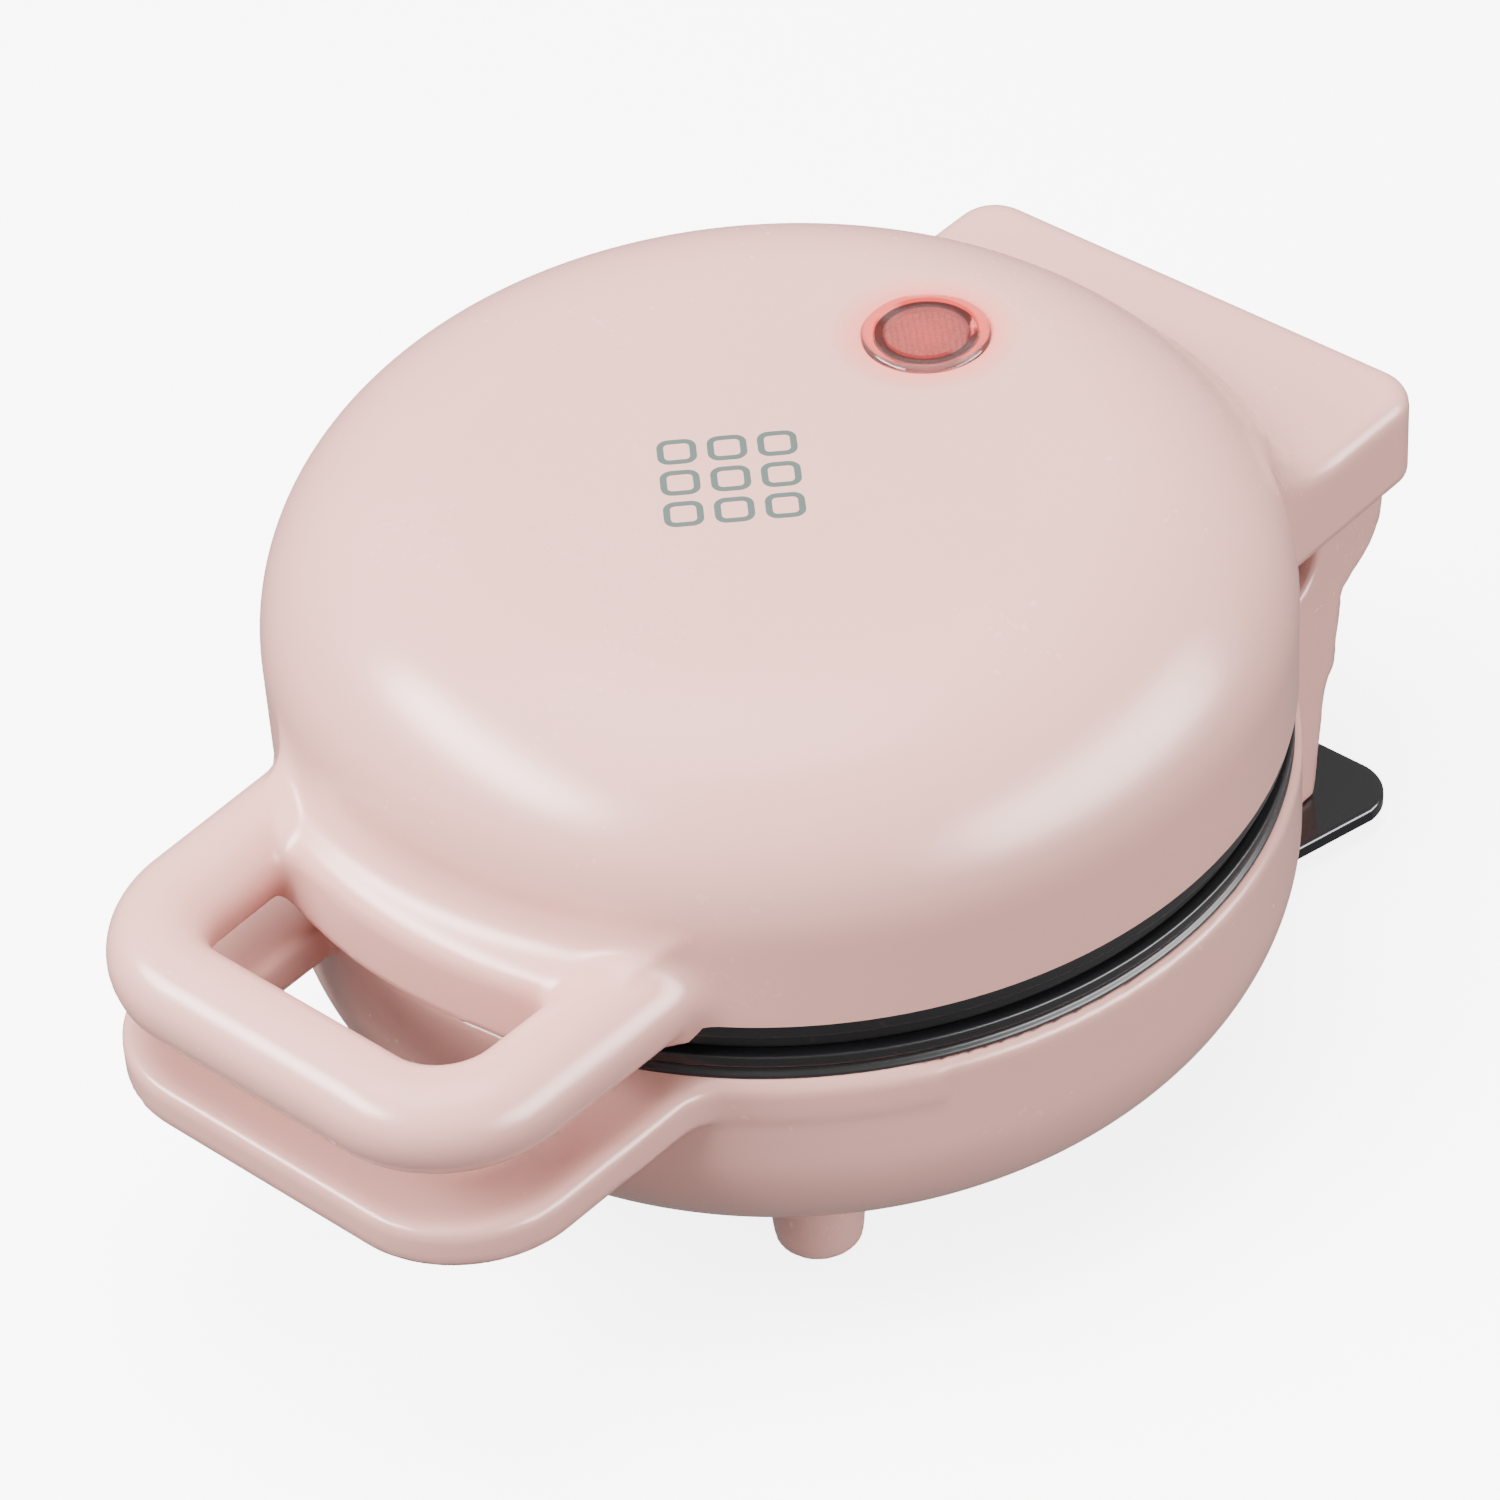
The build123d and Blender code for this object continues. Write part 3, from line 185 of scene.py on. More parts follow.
def shouldered(radius: Array, height: Array, side: float, top: float, run: float,
               rise: float) -> Array:
    """Turned solid with a straight side that curves in as a quarter ellipse to a flat top.

    Args:
        radius: Distance from the axis.
        height: Height, growing towards the flat top.
        side: Radius of the straight side.
        top: Height of the flat top.
        run: Horizontal reach of the ellipse.
        rise: Its height.

    Returns:
        The field; it has no lower face.
    """
    across = np.maximum(radius - (side - run), 0) / run
    along = np.maximum(height - (top - rise), 0) / rise
    reach = np.hypot(across, along)
    steep = np.hypot(across / run, along / rise)
    curved = (reach - 1) * reach / np.maximum(steep, 1e-9)
    flat = np.where(radius < side - run, height - top, curved)
    return np.where(height < top - rise, np.maximum(radius - side, height - top), flat)


def rounded_box(u: Array, v: Array, half_u: float, half_v: float, corner: float) -> Array:
    """Plan of a rectangle with round corners about the origin."""
    over_u, over_v = np.abs(u) - half_u + corner, np.abs(v) - half_v + corner
    outside = np.hypot(np.maximum(over_u, 0), np.maximum(over_v, 0))
    return outside + np.minimum(np.maximum(over_u, over_v), 0) - corner


class FieldMesher:
    """Turns a distance field into a clean closed mesh."""

    def __init__(self, shape: Callable[[Array, Array, Array], Array], low: Sequence[float],
                 high: Sequence[float], pitch: float) -> None:
        """Keep the field and the box that holds it.

        Args:
            shape: Field of x, y and z in millimetres about the round body's axis.
            low: Lowest corner of the box.
            high: Highest corner of the box.
            pitch: Spacing of the grid.
        """
        self.shape = shape
        self.low = np.asarray(low, float)
        self.high = np.asarray(high, float)
        self.pitch = pitch

    def at(self, points: Array) -> Array:
        """Field at a list of points."""
        return self.shape(points[:, 0], points[:, 1], points[:, 2])

    def slope(self, points: Array) -> Array:
        """Gradient of the field at a list of points."""
        step = 0.05
        columns = []
        for axis in range(3):
            offset = np.zeros(3)
            offset[axis] = step
            columns.append((self.at(points + offset) - self.at(points - offset)) / (2 * step))
        return np.stack(columns, axis=1)

    def settle(self, points: Array) -> Array:
        """Move points onto the surface by a few short Newton steps.

        Args:
            points: Points near the surface.

        Returns:
            The same points on it.
        """
        limit = self.pitch / 3
        for _ in range(4):
            gradient = self.slope(points)
            square = np.maximum((gradient ** 2).sum(axis=1), 0.05)
            move = gradient * (self.at(points) / square)[:, None]
            length = np.linalg.norm(move, axis=1)
            move *= np.minimum(1, limit / np.maximum(length, 1e-9))[:, None]
            points = points - move
        return points

    def build(self) -> tuple[Array, Array]:
        """Sample the field and mesh it.

        Returns:
            Points in millimetres and four-sided faces.
        """
        counts = np.ceil((self.high - self.low) / self.pitch).astype(int) + 1
        axes = [self.low[i] + self.pitch * np.arange(counts[i]) for i in range(3)]
        x, y, z = np.meshgrid(*axes, indexing="ij")
        values = self.shape(x, y, z).astype(np.float32)
        grid = openvdb.FloatGrid()
        grid.background = 3 * self.pitch
        grid.copyFromArray(np.clip(values, -3 * self.pitch, 3 * self.pitch))
        points, _, faces = grid.convertToPolygons(isovalue=0.0, adaptivity=0.0)
        return self.settle(points.astype(float) * self.pitch + self.low), faces


# ---- Meshes ----


def new_piece(name: str, points: Array, faces: Sequence[Sequence[int]],
              axis_y: float) -> bpy.types.Object:
    """Make an object from points about the round body's axis.

    Args:
        name: Name of the piece.
        points: Points in millimetres.
        faces: Faces as lists of point numbers.
        axis_y: The axis's place along Y.

    Returns:
        The object, its mesh in metres and in place.
    """
    mesh = bpy.data.meshes.new(name)
    placed = (np.asarray(points, float) + (0, axis_y, 0)) * MM
    mesh.from_pydata(placed.tolist(), [], [list(map(int, face)) for face in faces])
    mesh.update()
    piece = bpy.data.objects.new(name, mesh)
    bpy.context.scene.collection.objects.link(piece)
    return piece


def turned(points: Profile, segments: int = 192) -> tuple[Array, list[list[int]]]:
    """Turn a closed profile about the Z axis.

    Args:
        points: Radius and height pairs, anticlockwise seen with the axis on the left.
        segments: Steps round.

    Returns:
        Points and faces, with one point where the profile meets the axis.
    """
    vertices: list[tuple[float, float, float]] = []
    rings: list[list[int]] = []
    for radius, height in points:
        if radius < 1e-6:
            rings.append([len(vertices)] * segments)
            vertices.append((0.0, 0.0, height))
            continue
        rings.append(list(range(len(vertices), len(vertices) + segments)))
        for step in range(segments):
            angle = 2 * pi * step / segments
            vertices.append((radius * cos(angle), radius * sin(angle), height))
    faces = []
    for index in range(len(points)):
        first, second = rings[index], rings[(index + 1) % len(points)]
        for step in range(segments):
            following = (step + 1) % segments
            corners = [first[step], first[following], second[following], second[step]]
            unique = list(dict.fromkeys(corners))
            if len(unique) > 2:
                faces.append(unique)
    return np.array(vertices), faces


def soften(points: Profile, radius: float, steps: int = 4) -> list[tuple[float, float]]:
    """Round the corners of a closed profile.

    Args:
        points: The profile's corners.
        radius: Rounding of each corner, limited by half its shorter side.
        steps: Points on each rounding less one.

    Returns:
        The rounded profile.
    """
    result: list[tuple[float, float]] = []
    count = len(points)
    for index, corner in enumerate(points):
        here = Vector(corner)
        before = Vector(points[index - 1]) - here
        after = Vector(points[(index + 1) % count]) - here
        if here.x < 1e-6 or before.length < 1e-6 or after.length < 1e-6:
            result.append(corner)
            continue
        reach = min(radius, 0.45 * before.length, 0.45 * after.length)
        start, end = here + before.normalized() * reach, here + after.normalized() * reach
        for step in range(steps + 1):
            t = step / steps
            point = start * (1 - t) ** 2 + here * (2 * t * (1 - t)) + end * t ** 2
            result.append((point.x, point.y))
    return result


def lathe(name: str, points: Profile, axis_y: float, centre: tuple[float, float] = (0.0, 0.0),
          segments: int = 192, sharp: float = 40.0) -> bpy.types.Object:
    """Make a turned piece.

    Args:
        name: Name of the piece.
        points: Its closed profile, radius and height.
        axis_y: The body axis's place along Y.
        centre: The piece's own axis from the body axis.
        segments: Steps round.
        sharp: Angle in degrees past which an edge stays crisp.

    Returns:
        The object.
    """
    vertices, faces = turned(points, segments)
    piece = new_piece(name, vertices + (centre[0], centre[1], 0), faces, axis_y)
    face_outwards(piece)
    shade(piece, sharp)
    return piece


def face_outwards(piece: bpy.types.Object) -> None:
    """Merge doubles and turn every face outwards."""
    work = bmesh.new()
    work.from_mesh(piece.data)
    bmesh.ops.remove_doubles(work, verts=work.verts, dist=1e-7)
    bmesh.ops.recalc_face_normals(work, faces=work.faces)
    work.to_mesh(piece.data)
    work.free()


def shade(piece: bpy.types.Object, sharp: float) -> None:
    """Smooth the faces and keep the edges past an angle crisp.

    Args:
        piece: The object.
        sharp: The angle, in degrees.
    """
    work = bmesh.new()
    work.from_mesh(piece.data)
    limit = radians(sharp)
    for face in work.faces:
        face.smooth = True
    for edge in work.edges:
        edge.smooth = len(edge.link_faces) == 2 and edge.calc_face_angle(0) < limit
    work.to_mesh(piece.data)
    work.free()


def carve(piece: bpy.types.Object, cutters: Sequence[bpy.types.Object]) -> None:
    """Cut clean holes and rims in a piece and keep their edges crisp.

    Args:
        piece: The object, in one material.
        cutters: Closed solids that don't touch each other; they are used up.
    """
    marker = bpy.data.materials.new("cut_marker")
    piece.data.materials.append(bpy.data.materials.new("cut_body"))
    for cutter in cutters:
        cutter.data.materials.append(marker)
        modifier = piece.modifiers.new("cut", "BOOLEAN")
        modifier.operation = "DIFFERENCE"
        modifier.solver = "EXACT"
        modifier.material_mode = "TRANSFER"
        modifier.object = cutter
    mesh = evaluated(piece)
    piece.modifiers.clear()
    names = [material.name for material in mesh.materials]
    work = bmesh.new()
    work.from_mesh(mesh)
    for edge in work.edges:
        sides = {names[face.material_index].startswith("cut_marker") for face in edge.link_faces}
        crease = edge.calc_face_angle(0) > radians(35)
        edge.smooth = not (len(sides) == 2 or (sides == {True} and crease))
    for face in work.faces:
        face.smooth = True
        face.material_index = 0
    work.to_mesh(mesh)
    work.free()
    mesh.materials.clear()
    old = piece.data
    piece.data = mesh
    bpy.data.meshes.remove(old)
    for cutter in cutters:
        bpy.data.objects.remove(cutter)


def evaluated(piece: bpy.types.Object) -> bpy.types.Mesh:
    """Mesh of an object with its modifiers applied."""
    graph = bpy.context.evaluated_depsgraph_get()
    return bpy.data.meshes.new_from_object(piece.evaluated_get(graph), depsgraph=graph)


def dress(piece: bpy.types.Object, material: bpy.types.Material) -> None:
    """Give a piece one material."""
    piece.data.materials.clear()
    piece.data.materials.append(material)


# ---- Geometry node trees ----


class RepeatTree:
    """A geometry node tree that repeats the mesh it is put on."""

    def __init__(self, name: str) -> None:
        """Start a tree with its geometry input and output.

        Args:
            name: Name of the tree.
        """
        self.tree = bpy.data.node_groups.new(name, "GeometryNodeTree")
        self.tree.interface.new_socket("Unit", in_out="INPUT", socket_type="NodeSocketGeometry")
        self.tree.interface.new_socket("Result", in_out="OUTPUT", socket_type="NodeSocketGeometry")
        self.start = self.tree.nodes.new("NodeGroupInput")
        self.end = self.tree.nodes.new("NodeGroupOutput")
        self.inputs: dict[str, str] = {}

    def size(self, name: str, kind: str = "NodeSocketFloat") -> bpy.types.NodeSocket:
        """Add a named input.

        Args:
            name: Its name.
            kind: Its socket type.

        Returns:
            The socket inside the tree.
        """
        socket = self.tree.interface.new_socket(name, in_out="INPUT", socket_type=kind)
        self.inputs[name] = socket.identifier
        return self.start.outputs[name]

    def node(self, kind: str, settings: dict | None = None, **inputs: object) -> bpy.types.Node:
        """Add a node.

        Args:
            kind: The node's type.
            settings: Its properties, set first.
            inputs: Values or sockets; an underscore in a name stands for a space.

        Returns:
            The node.
        """
        made = self.tree.nodes.new(kind)
        for key, value in (settings or {}).items():
            setattr(made, key, value)
        for key, value in inputs.items():
            socket = made.inputs[key.replace("_", " ")]
            for source in value if isinstance(value, list) else [value]:
                if isinstance(source, bpy.types.NodeSocket):
                    self.tree.links.new(source, socket)
                else:
                    socket.default_value = source
        return made

    def math(self, operation: str, *values: object) -> bpy.types.NodeSocket:
        """Add a Math node.

        Args:
            operation: Its operation.
            values: Numbers or sockets.

        Returns:
            Its result.
        """
        made = self.node("ShaderNodeMath", {"operation": operation})
        for index, value in enumerate(values):
            if isinstance(value, bpy.types.NodeSocket):
                self.tree.links.new(value, made.inputs[index])
            else:
                made.inputs[index].default_value = value
        return made.outputs[0]

    def finish(self, geometry: bpy.types.NodeSocket, material: bpy.types.Material) -> None:
        """End the tree in Realize Instances and Set Material.

        Args:
            geometry: What the tree has made.
            material: Its material.
        """
        solid = self.node("GeometryNodeRealizeInstances", Geometry=geometry)
        painted = self.node("GeometryNodeSetMaterial", Geometry=solid.outputs[0], Material=material)
        self.tree.links.new(painted.outputs[0], self.end.inputs[0])

    def grow(self, unit: bpy.types.Object, **sizes: float) -> bpy.types.Object:
        """Run the tree on an object and keep the result as its plain mesh.

        Args:
            unit: The object that is repeated.
            sizes: A value for each named input; an underscore stands for a space.

        Returns:
            The same object.
        """
        modifier = unit.modifiers.new("repeat", "NODES")
        modifier.node_group = self.tree
        for name, value in sizes.items():
            modifier[self.inputs[name.replace("_", " ")]] = value
        unit.update_tag()
        mesh = evaluated(unit)
        unit.modifiers.clear()
        old = unit.data
        unit.data = mesh
        bpy.data.meshes.remove(old)
        return unit


def ring_tree(name: str, material: bpy.types.Material) -> RepeatTree:
    """Tree that sets units round a circle about the Z axis.

    Args:
        name: Name of the tree.
        material: Material of the result.

    Returns:
        The tree, with inputs Count, Circle, Turn, Middle Y and Height.
    """
    tree = RepeatTree(name)
    count = tree.size("Count", "NodeSocketInt")
    circle = tree.size("Circle")
    turn = tree.size("Turn")
    middle = tree.size("Middle Y")
    height = tree.size("Height")
    ring = tree.node("GeometryNodeMeshCircle", Vertices=count, Radius=circle)
    angle = tree.node("ShaderNodeCombineXYZ", Z=turn)
    place = tree.node("ShaderNodeCombineXYZ", Y=middle, Z=height)
    moved = tree.node("GeometryNodeTransform", Geometry=ring.outputs[0],
                      Rotation=angle.outputs[0], Translation=place.outputs[0])
    copies = tree.node("GeometryNodeInstanceOnPoints", Points=moved.outputs[0],
                       Instance=tree.start.outputs[0])
    tree.finish(copies.outputs[0], material)
    return tree


def row_tree(name: str, material: bpy.types.Material) -> RepeatTree:
    """Tree that sets units along a row centred on the Y axis.

    Args:
        name: Name of the tree.
        material: Material of the result.

    Returns:
        The tree, with inputs Count, Pitch, Middle Y and Height.
    """
    tree = RepeatTree(name)
    count = tree.size("Count", "NodeSocketInt")
    pitch = tree.size("Pitch")
    middle = tree.size("Middle Y")
    height = tree.size("Height")
    half = tree.math("MULTIPLY", tree.math("MULTIPLY", pitch, tree.math("SUBTRACT", count, 1.0)), -0.5)
    start = tree.node("ShaderNodeCombineXYZ", X=half, Y=middle, Z=height)
    step = tree.node("ShaderNodeCombineXYZ", X=pitch)
    row = tree.node("GeometryNodeMeshLine", {"mode": "OFFSET"}, Count=count,
                    Start_Location=start.outputs[0], Offset=step.outputs[0])
    copies = tree.node("GeometryNodeInstanceOnPoints", Points=row.outputs[0],
                       Instance=tree.start.outputs[0])
    tree.finish(copies.outputs[0], material)
    return tree


def grid_tree(name: str, material: bpy.types.Material, clipped: bool) -> RepeatTree:
    """Tree that sets units on a square grid, kept inside a circle.

    Args:
        name: Name of the tree.
        material: Material of the result.
        clipped: Whether units that cross the circle are cut off by it.

    Returns:
        The tree, with inputs Count, Pitch, Turn, Keep, Edge, Middle Y and Height.
    """
    tree = RepeatTree(name)
    count = tree.size("Count", "NodeSocketInt")
    pitch = tree.size("Pitch")
    turn = tree.size("Turn")
    keep = tree.size("Keep")
    edge = tree.size("Edge")
    middle = tree.size("Middle Y")
    height = tree.size("Height")
    side = tree.math("MULTIPLY", pitch, tree.math("SUBTRACT", count, 1.0))
    grid = tree.node("GeometryNodeMeshGrid", Size_X=side, Size_Y=side, Vertices_X=count,
                     Vertices_Y=count)
    reach = tree.node("ShaderNodeVectorMath", {"operation": "LENGTH"})
    place = tree.node("GeometryNodeInputPosition")
    tree.tree.links.new(place.outputs[0], reach.inputs[0])
    outside = tree.math("GREATER_THAN", reach.outputs["Value"], keep)
    kept = tree.node("GeometryNodeDeleteGeometry", {"domain": "POINT"}, Geometry=grid.outputs[0],
                     Selection=outside)
    copies = tree.node("GeometryNodeInstanceOnPoints", Points=kept.outputs[0],
                       Instance=tree.start.outputs[0])
    result = tree.node("GeometryNodeRealizeInstances", Geometry=copies.outputs[0]).outputs[0]
    angle = tree.node("ShaderNodeCombineXYZ", Z=turn)
    result = tree.node("GeometryNodeTransform", Geometry=result, Rotation=angle.outputs[0]).outputs[0]
    if clipped:
        drum = tree.node("GeometryNodeMeshCylinder", Vertices=160, Radius=edge, Depth=0.1)
        cut = tree.node("GeometryNodeMeshBoolean", {"operation": "INTERSECT", "solver": "EXACT"})
        for source in (result, drum.outputs[0]):
            tree.tree.links.new(source, cut.inputs[1])
        result = cut.outputs[0]
    shift = tree.node("ShaderNodeCombineXYZ", Y=middle, Z=height)
    result = tree.node("GeometryNodeTransform", Geometry=result, Translation=shift.outputs[0]).outputs[0]
    tree.finish(result, material)
    return tree


# ---- Shader maths ----


class Value:
    """A shader socket that Python operators add Math nodes to."""

    def __init__(self, shader: "Shader", socket: bpy.types.NodeSocket) -> None:
        """Wrap a socket of a shader."""
        self.shader = shader
        self.socket = socket

    def _op(self, operation: str, first: object, second: object = None) -> "Value":
        """Add a Math node of two values."""
        return self.shader.math(operation, first, second)

    def __add__(self, other: object) -> "Value":
        """Sum."""
        return self._op("ADD", self, other)

    __radd__ = __add__

    def __sub__(self, other: object) -> "Value":
        """Difference."""
        return self._op("SUBTRACT", self, other)

    def __rsub__(self, other: object) -> "Value":
        """Difference from a number."""
        return self._op("SUBTRACT", other, self)

    def __mul__(self, other: object) -> "Value":
        """Product."""
        return self._op("MULTIPLY", self, other)

    __rmul__ = __mul__

    def __truediv__(self, other: object) -> "Value":
        """Quotient."""
        return self._op("DIVIDE", self, other)

    def __rtruediv__(self, other: object) -> "Value":
        """Quotient of a number."""
        return self._op("DIVIDE", other, self)

    def __pow__(self, other: object) -> "Value":
        """Power."""
        return self._op("POWER", self, other)

    def ramp(self, low: float, high: float) -> "Value":
        """Smooth step from 0 at low to 1 at high."""
        node = self.shader.node(
            "ShaderNodeMapRange", {"interpolation_type": "SMOOTHSTEP", "clamp": True},
            {"Value": self, "From Min": low, "From Max": high})
        return self.shader.value(node, "Result")


class Shader:
    """A material with one Principled shader, built node by node."""

    def __init__(self, name: str) -> None:
        """Start a material.

        Args:
            name: Its name.
        """
        self.material = bpy.data.materials.new(name)
        self.material.use_nodes = True
        self.tree = self.material.node_tree
        self.tree.nodes.clear()
        self.surface = self.tree.nodes.new("ShaderNodeBsdfPrincipled")
        output = self.tree.nodes.new("ShaderNodeOutputMaterial")
        self.tree.links.new(self.surface.outputs[0], output.inputs[0])
        self.place = self.tree.nodes.new("ShaderNodeTexCoord").outputs["Object"]

    def put(self, socket: bpy.types.NodeSocket, value: object) -> None:
        """Set or link an input socket.

        Args:
            socket: The socket.
            value: A number, a colour, a Value or a socket.
        """
        if isinstance(value, Value):
            value = value.socket
        if isinstance(value, bpy.types.NodeSocket):
            self.tree.links.new(value, socket)
        elif isinstance(value, tuple) and len(value) == 3 and socket.type == "RGBA":
            socket.default_value = (*value, 1.0)
        else:
            socket.default_value = value

    def node(self, kind: str, settings: dict, inputs: dict) -> bpy.types.Node:
        """Add any node.

        Args:
            kind: Its type.
            settings: Its properties, set before its sockets.
            inputs: Values or links by socket name or number.

        Returns:
            The node.
        """
        made = self.tree.nodes.new(kind)
        for key, value in settings.items():
            setattr(made, key, value)
        for key, value in inputs.items():
            self.put(made.inputs[key], value)
        return made

    def value(self, node: bpy.types.Node, output: str | int = 0) -> Value:
        """Wrap one output of a node."""
        return Value(self, node.outputs[output])

    def math(self, operation: str, first: object, second: object = None) -> Value:
        """Add a Math node.

        Args:
            operation: Its operation.
            first: First number or value.
            second: Second number or value, or None.

        Returns:
            Its result.
        """
        inputs = {0: first} if second is None else {0: first, 1: second}
        return self.value(self.node("ShaderNodeMath", {"operation": operation}, inputs))

    def noise(self, size: float, detail: float = 3.0,
              stretch: tuple[float, float, float] = (1, 1, 1)) -> Value:
        """Noise with features of about a size.

        Args:
            size: Their size, in millimetres.
            detail: Octaves.
            stretch: Scale along each axis.

        Returns:
            The noise, from 0 to 1 about 0.5.
        """
        mapped = self.node("ShaderNodeMapping", {}, {"Vector": self.place, "Scale": stretch})
        made = self.node("ShaderNodeTexNoise", {}, {
            "Vector": mapped.outputs[0], "Scale": 1 / (size * MM), "Detail": detail})
        return self.value(made, 0)

    def away(self, point: Vector, flat: bool = False) -> Value:
        """Distance from a point in millimetres.

        Args:
            point: The point, in millimetres.
            flat: Whether height is left out.

        Returns:
            The distance.
        """
        scale = (1, 1, 0) if flat else (1, 1, 1)
        centre = point * MM
        moved = self.node("ShaderNodeMapping", {}, {
            "Vector": self.place, "Scale": scale,
            "Location": tuple(-centre[i] * scale[i] for i in range(3))})
        length = self.node("ShaderNodeVectorMath", {"operation": "LENGTH"}, {0: moved.outputs[0]})
        return self.value(length, "Value") * (1 / MM)

    def along(self, axis: str) -> Value:
        """One object coordinate in millimetres."""
        split = self.node("ShaderNodeSeparateXYZ", {}, {0: self.place})
        return self.value(split, axis) * (1 / MM)

    def mix(self, share: Value, first: object, second: object) -> bpy.types.NodeSocket:
        """Mix two colours.

        Args:
            share: Share of the second.
            first: First colour.
            second: Second colour.

        Returns:
            The mixed colour's socket.
        """
        made = self.node("ShaderNodeMix", {"data_type": "RGBA"}, {0: share, 6: first, 7: second})
        return made.outputs[2]

    def bump(self, height: Value, depth: float) -> None:
        """Raise the surface by a height.

        Args:
            height: The height, from 0 to 1.
            depth: Its depth, in millimetres.
        """
        made = self.node("ShaderNodeBump", {}, {
            "Height": height, "Strength": 1.0, "Distance": depth * MM})
        self.put(self.surface.inputs["Normal"], made.outputs[0])

    def set(self, **inputs: object) -> None:
        """Set sockets of the Principled shader; an underscore stands for a space."""
        for key, value in inputs.items():
            self.put(self.surface.inputs[key.replace("_", " ")], value)


# ---- Finishes ----


Colour = tuple[float, float, float]


@dataclass(frozen=True)
class MouldedPlastic:
    """Injection-moulded plastic with faint flow marks and a fine moulded texture."""

    name: str
    colour: Colour
    shade: Colour
    roughness: float
    texture: float = 0.0025
    coat: float = 0.0
    dust: float = 0.0

    def start(self) -> Shader:
        """Build the shader, ready for more.

        Returns:
            The shader.
        """
        shader = Shader(self.name)
        flow = shader.noise(38.0, 2.0, (1, 1, 2.2))
        grain = shader.noise(0.55, 2.0)
        speck = shader.noise(1.6, 4.0)
        colour = shader.mix((flow - 0.35) * 1.6, self.shade, self.colour)
        if self.dust:
            colour = shader.mix(speck.ramp(0.66, 0.8) * self.dust, colour, (0.6, 0.6, 0.6))
        worn = (speck - 0.5) * 0.05
        shader.set(Base_Color=colour, Roughness=self.roughness + worn + (flow - 0.5) * 0.06, IOR=1.5,
                   Coat_Weight=self.coat, Coat_Roughness=0.06)
        shader.bump(grain + flow * 3.0, self.texture)
        return shader

    def make(self) -> bpy.types.Material:
        """Build the material."""
        return self.start().material


@dataclass(frozen=True)
class HousingPlastic(MouldedPlastic):
    """Housing plastic with a painted red lamp glow round its lens, in its base colour and its emission."""

    lens: Vector = field(default_factory=Vector)
    rim: float = 8.2
    # Colour of the painted lamp glow round the lens.
    painted_lamp_glow: Colour = (0.85, 0.10, 0.07)

    def make(self) -> bpy.types.Material:
        """Build the material.

        Returns:
            The material.
        """
        shader = self.start()
        # Painted light: near the lens the base colour turns red and the plastic emits, as if lit by the lamp under
        # it.
        reach = shader.away(self.lens)
        painted_glow_share = 1 - reach.ramp(self.rim - 2.0, self.rim + 5.5)
        base = shader.surface.inputs["Base Color"].links[0].from_socket
        shader.set(Base_Color=shader.mix(painted_glow_share * 0.62, base, self.painted_lamp_glow), Emission_Strength=0.55,
                   Emission_Color=shader.mix(painted_glow_share ** 1.6, (0.0, 0.0, 0.0), (0.55, 0.06, 0.04)),
                   Subsurface_Weight=0.06, Subsurface_Radius=(0.004, 0.0015, 0.001))
        return shader.material


@dataclass(frozen=True)
class Metal:
    """Plain metal with fine marks along one direction."""

    name: str
    colour: Colour
    dull: Colour
    roughness: float
    marks: tuple[float, float, float] = (1, 1, 1)
    mark_size: float = 0.6

    def make(self) -> bpy.types.Material:
        """Build the material.

        Returns:
            The material.
        """
        shader = Shader(self.name)
        scratch = shader.noise(self.mark_size, 3.0, self.marks)
        stain = shader.noise(7.0, 4.0)
        shader.set(Base_Color=shader.mix(stain.ramp(0.35, 0.75), self.colour, self.dull), Metallic=1.0,
                   Roughness=self.roughness + (scratch - 0.5) * 0.25 + stain.ramp(0.4, 0.8) * 0.12)
        shader.bump(scratch, 0.006)
        return shader.material


@dataclass(frozen=True)
class NonStick:
    """Baked non-stick coat with fine pale flecks over cast metal."""

    name: str
    colour: Colour = (0.028, 0.028, 0.031)
    fleck: Colour = (0.12, 0.12, 0.125)

    def make(self) -> bpy.types.Material:
        """Build the material.

        Returns:
            The material.
        """
        shader = Shader(self.name)
        fine, wide = shader.noise(0.35, 2.0), shader.noise(14.0, 3.0)
        flecks = fine.ramp(0.62, 0.7)
        shader.set(Base_Color=shader.mix(flecks * 0.5, self.colour, self.fleck), Metallic=0.25,
                   Roughness=0.42 + (wide - 0.5) * 0.2 + flecks * 0.1)
        shader.bump(fine, 0.012)
        return shader.material


@dataclass(frozen=True)
class WovenSleeve:
    """Glass-fibre sleeve with a crossed weave."""

    name: str
    colour: Colour = (0.72, 0.69, 0.60)

    def make(self) -> bpy.types.Material:
        """Build the material.

        Returns:
            The material.
        """
        shader = Shader(self.name)
        across = shader.math("SINE", (shader.along("X") + shader.along("Z")) * 9.0)
        other = shader.math("SINE", (shader.along("Y") - shader.along("Z")) * 9.0)
        weave = across * other * 0.5 + 0.5
        shader.set(Base_Color=shader.mix(weave, tuple(0.7 * c for c in self.colour), self.colour),
                   Roughness=0.85 - weave * 0.1)
        shader.bump(weave, 0.08)
        return shader.material


@dataclass(frozen=True)
class ClearPlastic:
    """Clear tinted plastic."""

    name: str
    colour: Colour
    roughness: float

    def start(self) -> Shader:
        """Build the shader, ready for more."""
        shader = Shader(self.name)
        haze = shader.noise(1.2, 3.0)
        tint = shader.mix(haze, self.colour, tuple(0.92 * c for c in self.colour))
        shader.set(Base_Color=tint, Roughness=self.roughness + haze * 0.05, IOR=1.49,
                   Transmission_Weight=0.95)
        shader.bump(haze, 0.006)
        return shader

    def make(self) -> bpy.types.Material:
        """Build the material."""
        return self.start().material


